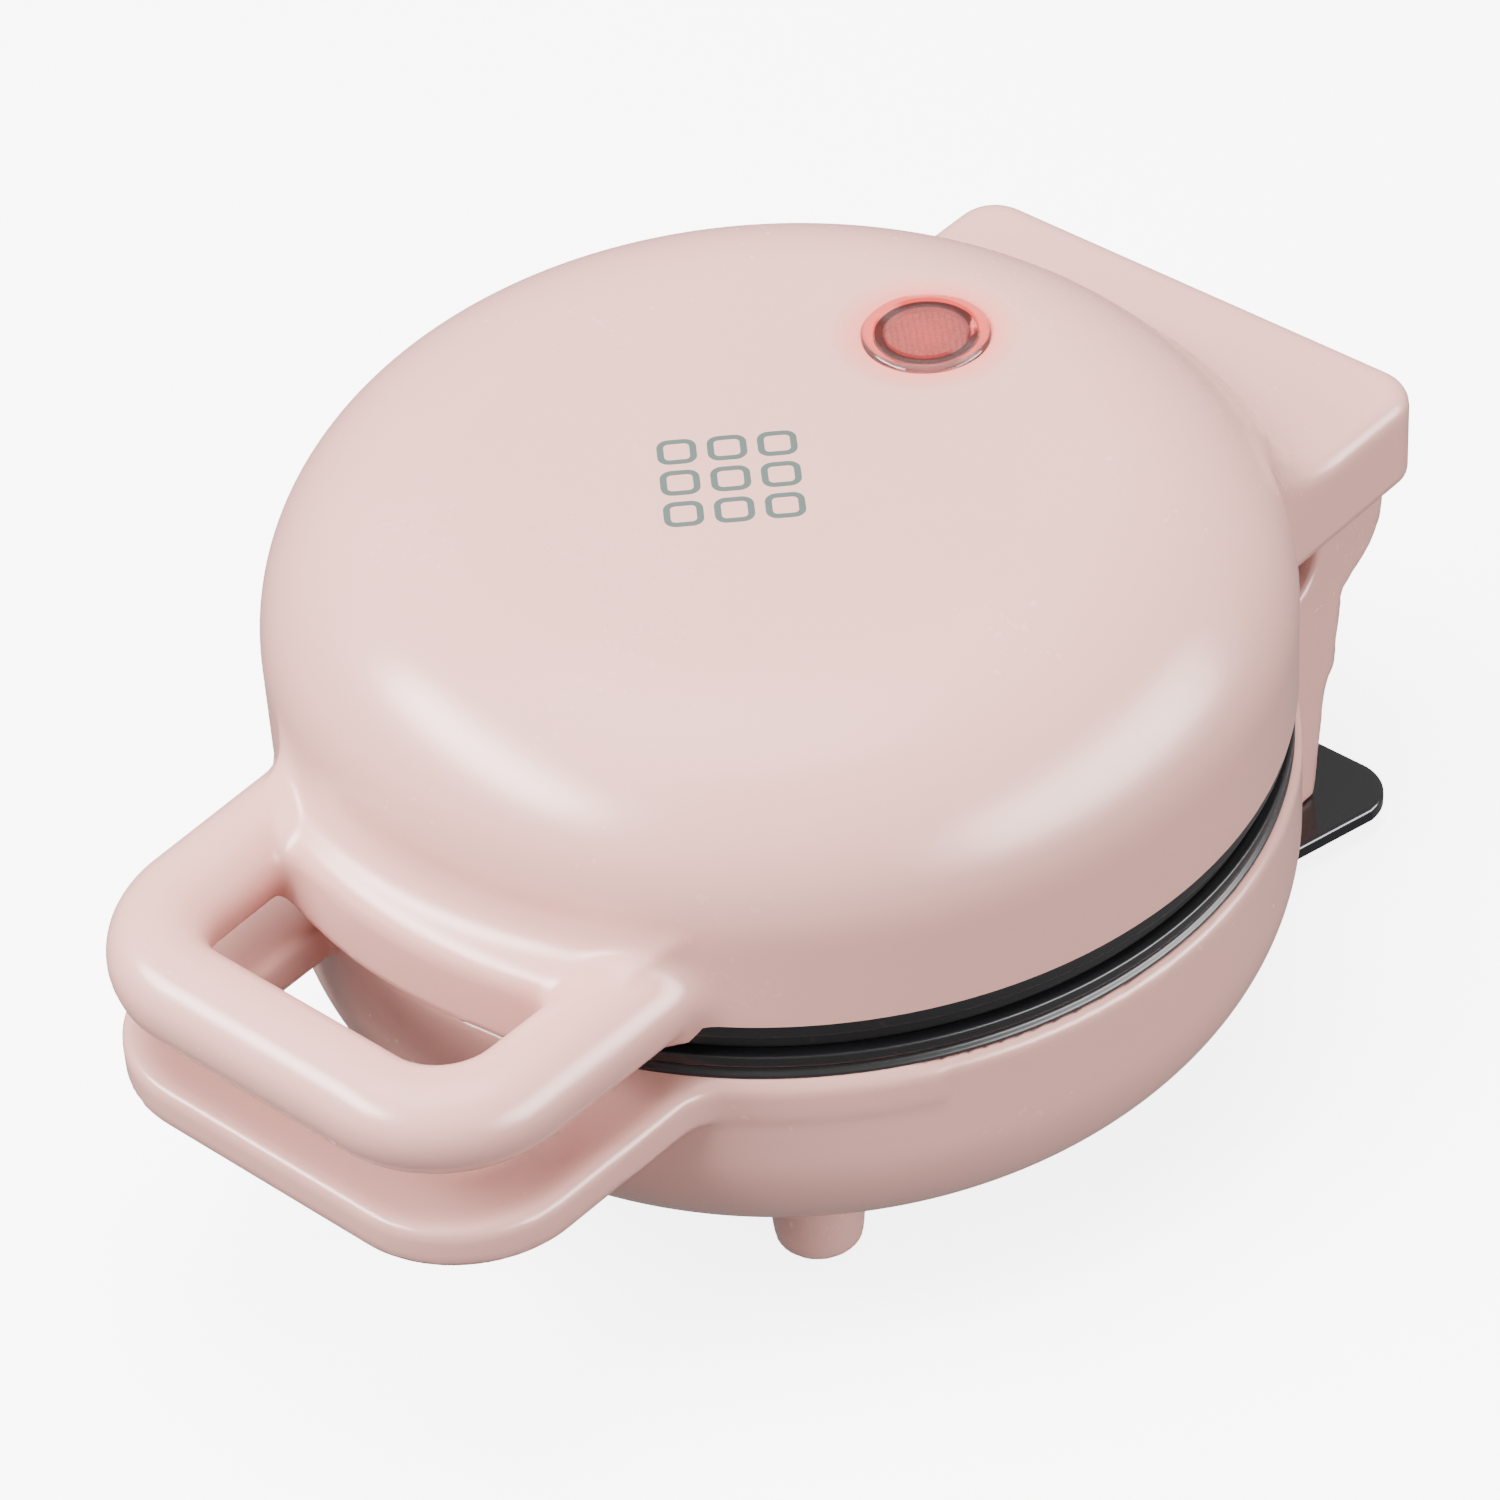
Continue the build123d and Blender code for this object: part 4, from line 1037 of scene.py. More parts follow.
@dataclass(frozen=True)
class LensPlastic(ClearPlastic):
    """Clear lens with painted shade in its colour: two darker curves over its stem wall."""

    centre: Vector = field(default_factory=Vector)
    inner: float = 5.3
    outer: float = 6.8
    # Colour of the painted shade over the stem wall.
    painted_arc_shade: Colour = (0.72, 0.13, 0.11)

    def make(self) -> bpy.types.Material:
        """Build the material.

        Returns:
            The material.
        """
        shader = self.start()
        # Painted shade: the colour darkens in two curved bands between the stem's bore and outside, where the stem
        # wall shows through the clear cap.
        reach = shader.away(self.centre, flat=True)
        across = shader.math("ABSOLUTE", shader.along("Y") - self.centre.y)
        arc_shade_mask = (across / (reach + 0.01)).ramp(0.12, 0.42)
        ring = reach.ramp(self.inner - 0.15, self.inner + 0.25)
        ring = ring * (1 - reach.ramp(self.outer - 0.3, self.outer))
        base = shader.surface.inputs["Base Color"].links[0].from_socket
        shader.set(Base_Color=shader.mix(ring * arc_shade_mask, base, self.painted_arc_shade))
        return shader.material


@dataclass(frozen=True)
class LitPlastic(ClearPlastic):
    """Clear plastic that emits light, brightest in the middle, with a painted glint pattern along its facets; on
    the lens diffuser, which is no lamp, this glow is painted lamp light.
    """

    light: Colour = (1.0, 0.1, 0.05)
    edge: Colour = (0.5, 0.02, 0.01)
    strength: float = 1.0
    centre: Vector = field(default_factory=Vector)
    spread: float = 5.0
    facet: float = 0.0

    def make(self) -> bpy.types.Material:
        """Build the material.

        Returns:
            The material.
        """
        shader = self.start()
        # Painted light: the emission is brightest at the centre and, with facet set, in a grid of painted glints
        # along the facets.
        share = 1 - shader.away(self.centre, flat=True).ramp(0.0, self.spread)
        if self.facet:
            turn = pi * sqrt(0.5) / self.facet
            x, y = shader.along("X") - self.centre.x, shader.along("Y") - self.centre.y
            first = shader.math("ABSOLUTE", shader.math("COSINE", (x + y) * turn))
            second = shader.math("ABSOLUTE", shader.math("COSINE", (x - y) * turn))
            share = share * 0.55 + first * second * 0.45
        shader.set(Emission_Color=shader.mix(share, self.edge, self.light),
                   Emission_Strength=self.strength, Transmission_Weight=0.2)
        return shader.material


class Finishes:
    """Every material of the object, made once."""

    def __init__(self, levels: Levels) -> None:
        """Make the materials.

        Args:
            levels: Where things are.
        """
        lens = Vector((0, levels.axis_y + levels.lens_y, levels.lid_top))
        pink, pink_shade = (0.700, 0.365, 0.318), (0.684, 0.350, 0.304)
        self.housing = HousingPlastic("satin_pink_plastic", pink, pink_shade, 0.26, lens=lens).make()
        self.cover = MouldedPlastic("pink_cover_plastic", pink, pink_shade, 0.30).make()
        self.trim = MouldedPlastic("satin_black_plastic", (0.009, 0.009, 0.011), (0.007, 0.007, 0.008),
                                   0.36, texture=0.006, dust=0.02).make()
        self.gloss = MouldedPlastic("gloss_black_plastic", (0.006, 0.006, 0.007), (0.005, 0.005, 0.006),
                                    0.20, texture=0.002, coat=0.2).make()
        self.rubber = MouldedPlastic("grey_rubber", (0.19, 0.17, 0.17), (0.15, 0.14, 0.14), 0.75,
                                     texture=0.02, dust=0.15).make()
        self.bush = MouldedPlastic("black_rubber", (0.022, 0.022, 0.023), (0.018, 0.018, 0.018), 0.6,
                                   texture=0.015, dust=0.08).make()
        self.nylon = MouldedPlastic("natural_nylon", (0.80, 0.79, 0.74), (0.74, 0.73, 0.67), 0.5).make()
        self.insulation = MouldedPlastic("silicone_insulation", (0.74, 0.74, 0.73), (0.68, 0.68, 0.66),
                                         0.55, dust=0.1).make()
        self.ceramic = MouldedPlastic("unglazed_ceramic", (0.78, 0.74, 0.66), (0.70, 0.66, 0.58), 0.8,
                                      texture=0.02, dust=0.1).make()
        self.ink = MouldedPlastic("grey_green_ink", (0.085, 0.115, 0.103), (0.075, 0.103, 0.092), 0.45,
                                  texture=0.002).make()
        self.coating = NonStick("non_stick_coating").make()
        self.steel = Metal("zinc_plated_steel", (0.62, 0.62, 0.63), (0.45, 0.44, 0.43), 0.3).make()
        self.sheet = Metal("bright_aluminium_sheet", (0.80, 0.80, 0.81), (0.66, 0.65, 0.64), 0.26,
                           marks=(6, 0.4, 1)).make()
        self.element = Metal("oxidised_element_steel", (0.24, 0.22, 0.21), (0.13, 0.11, 0.10),
                             0.5).make()
        self.brass = Metal("brass", (0.78, 0.58, 0.26), (0.55, 0.38, 0.16), 0.3).make()
        self.sleeve = WovenSleeve("glass_fibre_sleeve").make()
        self.lens = LensPlastic("clear_red_lens", (1.0, 0.60, 0.56), 0.03, lens).make()
        # The diffuser's glow and its facet glints are painted lamp light; the neon lamp glass is the real lamp.
        self.facets = LitPlastic("lit_red_facets", (0.24, 0.013, 0.008), 0.15, (1.0, 0.085, 0.03),
                                 (0.22, 0.008, 0.004), 0.75, lens, 6.0, 0.80).make()
        self.lamp = LitPlastic("neon_lamp_glass", (1.0, 0.55, 0.35), 0.05, (1.0, 0.30, 0.10),
                               (0.6, 0.1, 0.03), 3.0, lens, 5.0).make()


# ---- Sub-assemblies ----


@dataclass
class LidShell:
    """Dome, front apron, round loop handle and rear hinge block, in one moulding."""

    levels: Levels
    radius: float = 65.0
    run: float = 26.9
    rise: float = 23.9
    wall: float = 2.2
    apron_radius: float = 70.6
    apron_rise: float = 7.6
    apron_edge: float = 2.4
    apron_blend: float = 7.5
    loop_radius: float = 6.3
    loop_front: float = 91.4
    loop_half: float = 27.15
    loop_flare: float = 1.4
    loop_corner: float = 12.5
    loop_rise: float = 3.4
    groove_half: float = 3.0
    groove_depth: float = 1.85
    tube_blend: float = 2.4
    block_blend: float = 1.6
    block_half: float = 36.9
    block_reach: float = 14.8
    block_rise: float = 10.6
    block_corner: float = 6.0
    block_edge: float = 3.0
    block_sweep: float = 12.5
    block_wall: float = 2.0
    rib_span: tuple[float, float] = (27.1, 30.5)
    rib_radius: float = 5.5
    pin_hole: float = 2.05
    dish_depth: float = 0.45
    dish_reach: float = 13.0
    seat_radius: float = 8.35
    stem_radius: float = 6.75
    pitch: float = 0.9

    def loop_way(self, x: Array, y: Array) -> Array:
        """Distance in plan from the loop handle's centre line.

        Args:
            x: Across.
            y: Along, from the body axis.

        Returns:
            The distance.
        """
        side = np.abs(x)
        flare = radians(self.loop_flare)
        tangent = self.loop_corner / tan((pi / 2 + flare) / 2)
        centre_x, centre_y = self.loop_half - tangent, self.loop_corner - self.loop_front
        front = np.hypot(np.maximum(side - centre_x, 0), y + self.loop_front)
        arm_x = self.loop_half + tangent * sin(flare)
        arm_y = tangent * cos(flare) - self.loop_front
        along = (side - arm_x) * sin(flare) + (y - arm_y) * cos(flare)
        across = (side - arm_x) * cos(flare) - (y - arm_y) * sin(flare)
        arm = np.hypot(across, np.minimum(along, 0))
        u, v = side - centre_x, y - centre_y
        bend = np.abs(np.hypot(u, v) - self.loop_corner)
        in_bend = (u > 0) & (v < 0)
        return np.where(in_bend, np.minimum(bend, arm), np.minimum(front, arm))

    def apron(self, x: Array, y: Array, z: Array, radius: Array) -> Array:
        """Ledge between the loop's arms, with a rounded top edge."""
        top = self.levels.lid_rim + self.apron_rise
        ledge = common(radius - self.apron_radius, z - top, self.apron_edge)
        ledge = common(ledge, self.levels.skirt - z, 0.7)
        sides = np.maximum(np.abs(x) - self.loop_half, y + self.radius / 3)
        return np.maximum(ledge, sides)

    def block(self, x: Array, y: Array, z: Array, radius: Array) -> Array:
        """Hinge block whose top sweeps up to the dome."""
        gap = np.clip(radius - self.radius, 0.25, self.block_sweep)
        sweep = self.block_sweep - np.sqrt(self.block_sweep ** 2 - (self.block_sweep - gap) ** 2)
        steep = (self.block_sweep - gap) / np.sqrt(
            np.maximum(self.block_sweep ** 2 - (self.block_sweep - gap) ** 2, 1e-6))
        top = (z - self.levels.lid_rim - self.block_rise - sweep) / np.sqrt(1 + steep ** 2)
        reach = self.levels.hinge_y + self.block_reach
        plan = common(np.abs(x) - self.block_half, y - reach, self.block_corner)
        body = common(plan, top, self.block_edge)
        return np.maximum(common(body, self.levels.skirt - z, 0.8), self.radius / 2 - y)

    def block_room(self, x: Array, y: Array, z: Array, radius: Array) -> Array:
        """Hollow under the hinge block, less its two hinge ribs."""
        levels = self.levels
        reach = levels.hinge_y + self.block_reach - self.block_wall
        room = common(np.abs(x) - self.block_half + self.block_wall, y - reach,
                      self.block_corner - self.block_wall)
        ceiling = levels.lid_rim + self.block_rise - self.block_wall
        room = common(room, z - ceiling, 1.0)
        room = np.maximum(np.maximum(room, self.radius - radius), self.radius / 2 - y)
        hub = np.hypot(y - levels.hinge_y, z - levels.hinge_z)
        rib = np.minimum(hub - self.rib_radius,
                         np.maximum(np.abs(y - levels.hinge_y) - self.rib_radius, levels.hinge_z - z))
        rib = np.maximum(rib, slab(np.abs(x), *self.rib_span))
        return np.maximum(room, -rib)

    def ribs(self, x: Array, y: Array, z: Array) -> Array:
        """The parts of the hinge ribs that hang below the block."""
        levels = self.levels
        hub = np.hypot(y - levels.hinge_y, z - levels.hinge_z)
        neck = np.maximum(np.abs(y - levels.hinge_y) - self.rib_radius,
                          slab(z, levels.hinge_z, levels.skirt + 4))
        rib = common(np.minimum(hub - self.rib_radius, neck), slab(np.abs(x), *self.rib_span), 0.4)
        return without(rib, hub - self.pin_hole, 0.2)

    def shape(self, x: Array, y: Array, z: Array) -> Array:
        """Field of the whole moulding.

        Args:
            x: Across.
            y: Along, from the body axis.
            z: Height.

        Returns:
            The field.
        """
        levels = self.levels
        radius = np.hypot(x, y)
        lens = np.hypot(x, y - levels.lens_y)
        share = np.clip((self.dish_reach - lens) / (self.dish_reach - self.seat_radius), 0, 1)
        dish = self.dish_depth * share * share * (3 - 2 * share)
        outside = shouldered(radius, z + dish, self.radius, levels.lid_top, self.run, self.rise)
        tube = np.hypot(self.loop_way(x, y), z - levels.lid_rim - self.loop_rise) - self.loop_radius
        tube = np.maximum(tube, y + self.radius / 3)
        body = joined(outside, self.apron(x, y, z, radius), self.apron_blend)
        body = joined(body, tube, self.tube_blend)
        body = joined(body, self.block(x, y, z, radius), self.block_blend)
        body = common(body, levels.skirt - z, 0.6)
        groove = np.maximum(self.loop_way(x, y) - self.groove_half,
                            z - levels.lid_rim - self.loop_rise + self.loop_radius - self.groove_depth)
        body = without(body, np.maximum(groove, self.radius + 1.4 - radius), 0.3)
        room = shouldered(radius, z, self.radius - self.wall, levels.lid_top - self.wall,
                          self.run - self.wall / 2, self.rise - self.wall / 2)
        body = without(body, room)
        body = without(body, self.block_room(x, y, z, radius), 0.4)
        return np.minimum(body, self.ribs(x, y, z))

    def build(self, finishes: Finishes) -> bpy.types.Object:
        """Mesh the moulding and cut its crisp rims.

        Args:
            finishes: The materials.

        Returns:
            The piece.
        """
        levels = self.levels
        low = (-self.radius - 3, -self.loop_front - self.loop_radius - 3,
               levels.hinge_z - self.rib_radius - 3)
        high = (self.radius + 3, levels.hinge_y + self.block_reach + 3, levels.lid_top + 3)
        points, faces = FieldMesher(self.shape, low, high, self.pitch).build()
        piece = new_piece("lid_shell", points, faces, levels.axis_y)
        rim = lathe("rim_cutter", ((0, levels.hinge_z - 9), (self.radius + 0.4, levels.hinge_z - 9),
                                   (self.radius + 0.4, levels.lid_rim), (0, levels.lid_rim)),
                    levels.axis_y, segments=256)
        floor = levels.lid_top - 0.7
        seat = lathe("seat_cutter", ((0, levels.lid_top - 9), (self.stem_radius, levels.lid_top - 9),
                                     (self.stem_radius, floor), (self.seat_radius, floor),
                                     (self.seat_radius, levels.lid_top - self.dish_depth - 0.1),
                                     (self.seat_radius + 0.35, levels.lid_top + 3),
                                     (0, levels.lid_top + 3)),
                     levels.axis_y, (0, levels.lens_y), 96)
        carve(piece, [rim, seat])
        dress(piece, finishes.housing)
        return piece


@dataclass
class BaseShell:
    """Bowl, handle plate, rear pillar, feet and screw posts, in one moulding."""

    levels: Levels
    radius: float = 65.6
    run: float = 31.3
    rise: float = 25.4
    wall: float = 2.2
    rim_edge: float = 1.5
    handle_half: float = 33.45
    handle_front: float = 96.5
    handle_flare: float = 1.2
    handle_corner: float = 17.0
    handle_thickness: float = 6.0
    handle_drop: float = 0.3
    handle_edge: float = 1.7
    handle_skin: float = 2.4
    handle_blend: float = 3.4
    hole_border: float = 4.5
    rib_pitch: float = 9.0
    rib_at: tuple[float, float] = (4.0, 5.4)
    hole_half: float = 21.6
    hole_span: tuple[float, float] = (-85.1, -56.0)
    hole_corner: float = 6.0
    foot_circle: float = 46.5
    foot_angle: float = 47.0
    foot_radius: float = 5.6
    foot_taper: float = 0.085
    foot_proud: float = 0.6
    pillar_half: float = 34.5
    pillar_front: float = 46.0
    pillar_setback: float = 1.1
    pillar_bottom: float = 5.4
    pillar_lean: float = 7.5
    side_top: float = 41.8
    rear_top: float = 40.6
    ear_radius: float = 9.0
    ear_front: float = 5.8
    ear_thickness: float = 3.5
    ear_depth: float = 14.0
    ear_blend: float = 5.0
    ear_nose: float = 1.4
    barrel_back: float = 2.4
    barrel_radius: float = 7.4
    barrel_wall: float = 2.2
    barrel_spans: tuple[tuple[float, float], ...] = ((-26.45, 2.4), (13.6, 26.45))
    post_circle: float = 46.0
    post_radius: float = 4.6
    counterbore: float = 3.3
    counterbore_top: float = 20.0
    screw_hole: float = 1.75
    pad_hole: float = 4.0
    pad_seat: float = 1.6
    gland_height: float = 24.0
    gland_hole: float = 4.6
    pitch: float = 0.95

    def handle_plan(self, x: Array, y: Array) -> Array:
        """Plan of the handle plate, with round corners."""
        flare = radians(self.handle_flare)
        side = (np.abs(x) - self.handle_half - (y + self.handle_front) * tan(flare)) * cos(flare)
        return common(side, -y - self.handle_front, self.handle_corner)

    def hole_plan(self, x: Array, y: Array) -> Array:
        """Plan of the finger hole."""
        front, rear = self.hole_span
        return rounded_box(x, y - (front + rear) / 2, self.hole_half, (rear - front) / 2,
                           self.hole_corner)

    def handle(self, x: Array, y: Array, z: Array, radius: Array) -> Array:
        """Handle plate with its hole, hollow between ribs underneath."""
        top = self.levels.base_rim - self.handle_drop
        plan, hole = self.handle_plan(x, y), self.hole_plan(x, y)
        outline = joined(plan, radius - self.radius, self.handle_blend)
        outline = np.maximum(outline, y + self.radius * 0.55)
        plate = common(outline, z - top, self.handle_edge)
        plate = common(plate, top - self.handle_thickness - z, 1.0)
        plate = without(plate, hole, 1.3)
        room = np.maximum(plan + self.wall, self.hole_border - hole)
        room = np.maximum(room, self.radius + 0.6 - radius)
        rib = slab(np.mod(y + 70.0, self.rib_pitch), *self.rib_at)
        room = np.maximum(np.maximum(room, -rib), z - top + self.handle_skin)
        return without(plate, room, 0.3)

    def pillar_rear(self, z: Array) -> Array:
        """Place of the pillar's leaning rear face at each height."""
        reach = self.levels.hinge_y - self.pillar_setback
        knee = self.levels.hinge_z - self.ear_radius
        return reach - np.maximum(knee - z, 0) * tan(radians(self.pillar_lean))

    def pillar(self, x: Array, y: Array, z: Array) -> Array:
        """Hollow pillar with two ears and the barrel between them."""
        levels = self.levels
        side = np.abs(x) - self.pillar_half
        rear = y - self.pillar_rear(z)
        height = slab(z, self.pillar_bottom, self.side_top)
        flank = np.maximum(common(rear, z - self.side_top, 1.0), self.pillar_bottom - z)
        flank = np.maximum(flank, self.pillar_front - y)
        hub = np.hypot(y - levels.hinge_y, z - levels.hinge_z) - self.ear_radius
        neck = np.maximum(rear, z - levels.hinge_z)
        ear = np.minimum(hub, neck)
        ear = common(ear, levels.hinge_y - self.ear_front - y, self.ear_nose)
        ear = np.maximum(ear, self.rear_top - self.ear_depth - z)
        ear = joined(ear, flank, self.ear_blend)
        ear = common(np.maximum(ear, self.pillar_half - self.ear_thickness - np.abs(x)), side, 0.8)
        shell = common(common(side, rear, 1.5), height, 0.3)
        shell = np.maximum(shell, self.pillar_front - y)
        room = np.maximum(np.abs(x) - self.pillar_half + self.wall, y - self.pillar_rear(z) + self.wall)
        shell = np.maximum(shell, -room)
        inner = np.abs(x) - self.pillar_half + self.wall + 1
        shell = np.maximum(shell, np.minimum(z - self.rear_top, inner))
        shell = np.maximum(shell, z - self.side_top)
        barrel = self.barrel(x, y, z)
        return np.minimum(np.minimum(shell, ear), barrel)

    def barrel(self, x: Array, y: Array, z: Array) -> Array:
        """Curved wall between the ears that the lid's block turns over."""
        levels = self.levels
        u, v = y - levels.hinge_y, z - levels.hinge_z
        reach = np.hypot(u, v)
        tube = slab(reach, self.barrel_radius - self.barrel_wall, self.barrel_radius)
        tube = np.maximum(tube, -(u + self.barrel_back))
        spans = [slab(x, low, high) for low, high in self.barrel_spans]
        return common(tube, np.minimum(*spans), 0.4)

    def feet(self, x: Array, y: Array, z: Array) -> Array:
        """Four tapered feet with rounded lower edges."""
        foot_x = self.foot_circle * cos(radians(self.foot_angle))
        foot_y = self.foot_circle * sin(radians(self.foot_angle))
        reach = np.hypot(np.abs(x) - foot_x, np.abs(y) - foot_y)
        side = reach - self.foot_radius - (z - self.foot_proud) * self.foot_taper
        return np.maximum(common(side, self.foot_proud - z, 1.1), z - self.levels.bowl_bottom - 6)

    def post_places(self) -> list[tuple[float, float]]:
        """Centres of the three screw posts from the body axis."""
        angles = [radians(angle) for angle in (-90, 30, 150)]
        return [(self.post_circle * cos(angle), self.post_circle * sin(angle)) for angle in angles]

    def shape(self, x: Array, y: Array, z: Array) -> Array:
        """Field of the whole moulding.

        Args:
            x: Across.
            y: Along, from the body axis.
            z: Height.

        Returns:
            The field.
        """
        levels = self.levels
        radius = np.hypot(x, y)
        bowl = shouldered(radius, -z, self.radius, -levels.bowl_bottom, self.run, self.rise)
        bowl = common(bowl, z - levels.base_rim, self.rim_edge)
        room = shouldered(radius, -z, self.radius - self.wall, -levels.bowl_bottom - self.wall,
                          self.run - self.wall / 2, self.rise - self.wall / 2)
        pillar = joined(bowl, self.pillar(x, y, z), 1.2)
        body = np.minimum(joined(pillar, self.handle(x, y, z, radius), 0.8), pillar)
        body = joined(body, self.feet(x, y, z), 0.9)
        body = without(body, room)
        posts = np.full_like(radius, 1e3)
        for post_x, post_y in self.post_places():
            posts = np.minimum(posts, np.hypot(x - post_x, y - post_y) - self.post_radius)
        posts = np.maximum(posts, slab(z, levels.bowl_bottom + 1, self.counterbore_top + 10))
        return joined(body, np.maximum(posts, bowl), 0.6)

    def bores(self) -> list[bpy.types.Object]:
        """Cutters for the counterbores, pad seats and the gland's hole."""
        levels = self.levels
        cutters = []
        for x, y in self.post_places():
            cutters.append(lathe("bore", (
                (0, levels.table - 2), (self.counterbore + 0.3, levels.table - 2),
                (self.counterbore + 0.3, levels.bowl_bottom), (self.counterbore, levels.bowl_bottom + 0.4),
                (self.counterbore, self.counterbore_top), (self.screw_hole, self.counterbore_top),
                (self.screw_hole, levels.base_rim), (0, levels.base_rim)), levels.axis_y, (x, y), 48))
        for side_x in (-1, 1):
            for side_y in (-1, 1):
                x = side_x * self.foot_circle * cos(radians(self.foot_angle))
                y = side_y * self.foot_circle * sin(radians(self.foot_angle))
                seat = ((0, -1), (self.pad_hole, -1), (self.pad_hole, self.pad_seat),
                        (0, self.pad_seat))
                cutters.append(lathe("pad_seat", seat, levels.axis_y, (x, y), 48))
        drill = ((0, 60), (self.gland_hole, 60), (self.gland_hole, 80), (0, 80))
        gland = lathe("gland_hole", drill, 0.0, segments=48)
        turn = Matrix.Rotation(-pi / 2, 4, "X")
        place = Vector((0, levels.axis_y, self.gland_height)) * MM
        gland.data.transform(Matrix.Translation(place) @ turn)
        return [*cutters, gland]

    def build(self, finishes: Finishes) -> bpy.types.Object:
        """Mesh the moulding and cut its bores.

        Args:
            finishes: The materials.

        Returns:
            The piece.
        """
        levels = self.levels
        low = (-self.radius - 3, -self.handle_front - 3, levels.table - 2)
        high = (self.radius + 3, levels.hinge_y + self.ear_radius + 3,
                levels.hinge_z + self.ear_radius + 3)
        points, faces = FieldMesher(self.shape, low, high, self.pitch).build()
        piece = new_piece("base_shell", points, faces, levels.axis_y)
        carve(piece, self.bores())
        dress(piece, finishes.housing)
        return piece


@dataclass
class TrimRing:
    """Black ring that shows between a housing and the parting plane."""

    node: str
    name: str
    levels: Levels
    rim: float
    upwards: bool
    radius: float = 64.6
    step: float = 1.15
    land: float = 60.5
    shelf: float = 54.8
    skirt: float = 62.4
    flange: float = 2.0

    def profile(self) -> list[tuple[float, float]]:
        """Rounded section of the ring, drawn for the lower one.

        Returns:
            Its radius and height pairs, with height measured from the rim.
        """
        low, high = box_mm(self.node)
        height = (high.z - low.z) - RING_SKIRT
        shelf = height - self.flange
        groove = height * 0.42
        if self.upwards:
            outer = [(self.radius, height), (self.radius, groove + 0.5), (self.radius - 0.5, groove),
                     (self.radius - 0.5, groove - 0.5), (self.radius, groove - 1.0), (self.radius, 0.0)]
        else:
            outer = [(self.radius - self.step, height), (self.radius - self.step, height * 0.56),
                     (self.radius, height * 0.46), (self.radius, 0.0)]
        corners = [(self.land, -RING_SKIRT), (self.skirt, -RING_SKIRT), (self.skirt, 0.0),
                   *reversed(outer), (self.land, height), (self.land, shelf), (self.shelf, shelf),
                   (self.shelf, 0.0), (self.land, 0.0)]
        return soften(corners, 0.35, 4)

    def build(self, finishes: Finishes) -> bpy.types.Object:
        """Turn the ring.

        Args:
            finishes: The materials.

        Returns:
            The piece.
        """
        sign = 1 if self.upwards else -1
        points = [(radius, self.rim + sign * height) for radius, height in self.profile()]
        piece = lathe(self.name, points, self.levels.axis_y, segments=288, sharp=50)
        dress(piece, finishes.trim)
        return piece


@dataclass
class CookingPlate:
    """Cast plate with a field of raised squares."""

    node: str
    name: str
    levels: Levels
    upper: bool
    parting: float = 48.4
    bake_radius: float = 50.0
    bake_depth: float = 8.5
    floor: float = 2.6
    lean: float = 1.2
    wall: float = 2.4
    flange_radius: float = 60.2
    flange: float = 2.0
    gap: float = 0.3
    pitch: float = 14.0
    square: float = 10.4
    height: float = 5.2
    draft: float = 13.0
    edge_gap: float = 1.5
    count: int = 7

    def dish(self) -> bpy.types.Object:
        """Turn the plate's body, drawn for the lower plate.

        Returns:
            The dish.
        """
        top = self.parting - self.gap
        bottom = self.parting - self.bake_depth
        outside = self.bake_radius + self.wall
        corners = [(0, bottom - self.floor), (outside - self.lean, bottom - self.floor),
                   (outside, top - self.flange), (self.flange_radius, top - self.flange),
                   (self.flange_radius, top), (self.bake_radius, top),
                   (self.bake_radius - self.lean, bottom), (0, bottom)]
        return lathe(self.name, soften(corners, 1.3, 5), self.levels.axis_y, segments=224, sharp=55)

    def unit(self) -> bpy.types.Object:
        """One raised square with rounded edges, standing on the origin, in metres."""
        work = bmesh.new()
        bmesh.ops.create_cube(work, size=1.0)
        top = self.square - 2 * self.height * tan(radians(self.draft))
        for vertex in work.verts:
            high = vertex.co.z > 0
            side = (top if high else self.square) * MM
            level = (self.height if high else -0.8) * MM
            vertex.co = Vector((vertex.co.x * side, vertex.co.y * side, level))
        upper = [edge for edge in work.edges if max(v.co.z for v in edge.verts) > 0]
        bmesh.ops.bevel(work, geom=upper, offset=0.8 * MM, segments=4, profile=0.5, affect="EDGES")
        mesh = bpy.data.meshes.new("square")
        work.to_mesh(mesh)
        work.free()
        unit = bpy.data.objects.new("square", mesh)
        bpy.context.scene.collection.objects.link(unit)
        return unit

    def build(self, tree: RepeatTree, finishes: Finishes) -> bpy.types.Object:
        """Make the plate.

        Args:
            tree: The tree that lays out the squares.
            finishes: The materials.

        Returns:
            The piece.
        """
        dish = self.dish()
        squares = tree.grow(self.unit(), Count=self.count, Pitch=self.pitch * MM, Turn=0.0,
                            Keep=self.bake_radius * MM, Edge=(self.bake_radius - self.edge_gap) * MM,
                            Middle_Y=self.levels.axis_y * MM,
                            Height=(self.parting - self.bake_depth) * MM)
        shade(squares, 50)
        dress(dish, finishes.coating)
        piece = merged(dish, [squares])
        if self.upper:
            flip(piece, self.parting)
        return piece


def merged(first: bpy.types.Object, others: Sequence[bpy.types.Object]) -> bpy.types.Object:
    """Put the meshes of several objects into the first.

    Args:
        first: The object that stays.
        others: Objects that are used up.

    Returns:
        The first object.
    """
    work = bmesh.new()
    work.from_mesh(first.data)
    for other in others:
        work.from_mesh(other.data)
        bpy.data.objects.remove(other)
    for face in work.faces:
        face.material_index = 0
    work.to_mesh(first.data)
    work.free()
    return first


def flip(piece: bpy.types.Object, height: float) -> None:
    """Mirror a piece in a level plane and keep its faces pointing outwards.

    Args:
        piece: The object.
        height: Height of the plane, in millimetres.
    """
    work = bmesh.new()
    work.from_mesh(piece.data)
    for vertex in work.verts:
        vertex.co.z = 2 * height * MM - vertex.co.z
    bmesh.ops.reverse_faces(work, faces=work.faces)
    work.to_mesh(piece.data)
    work.free()


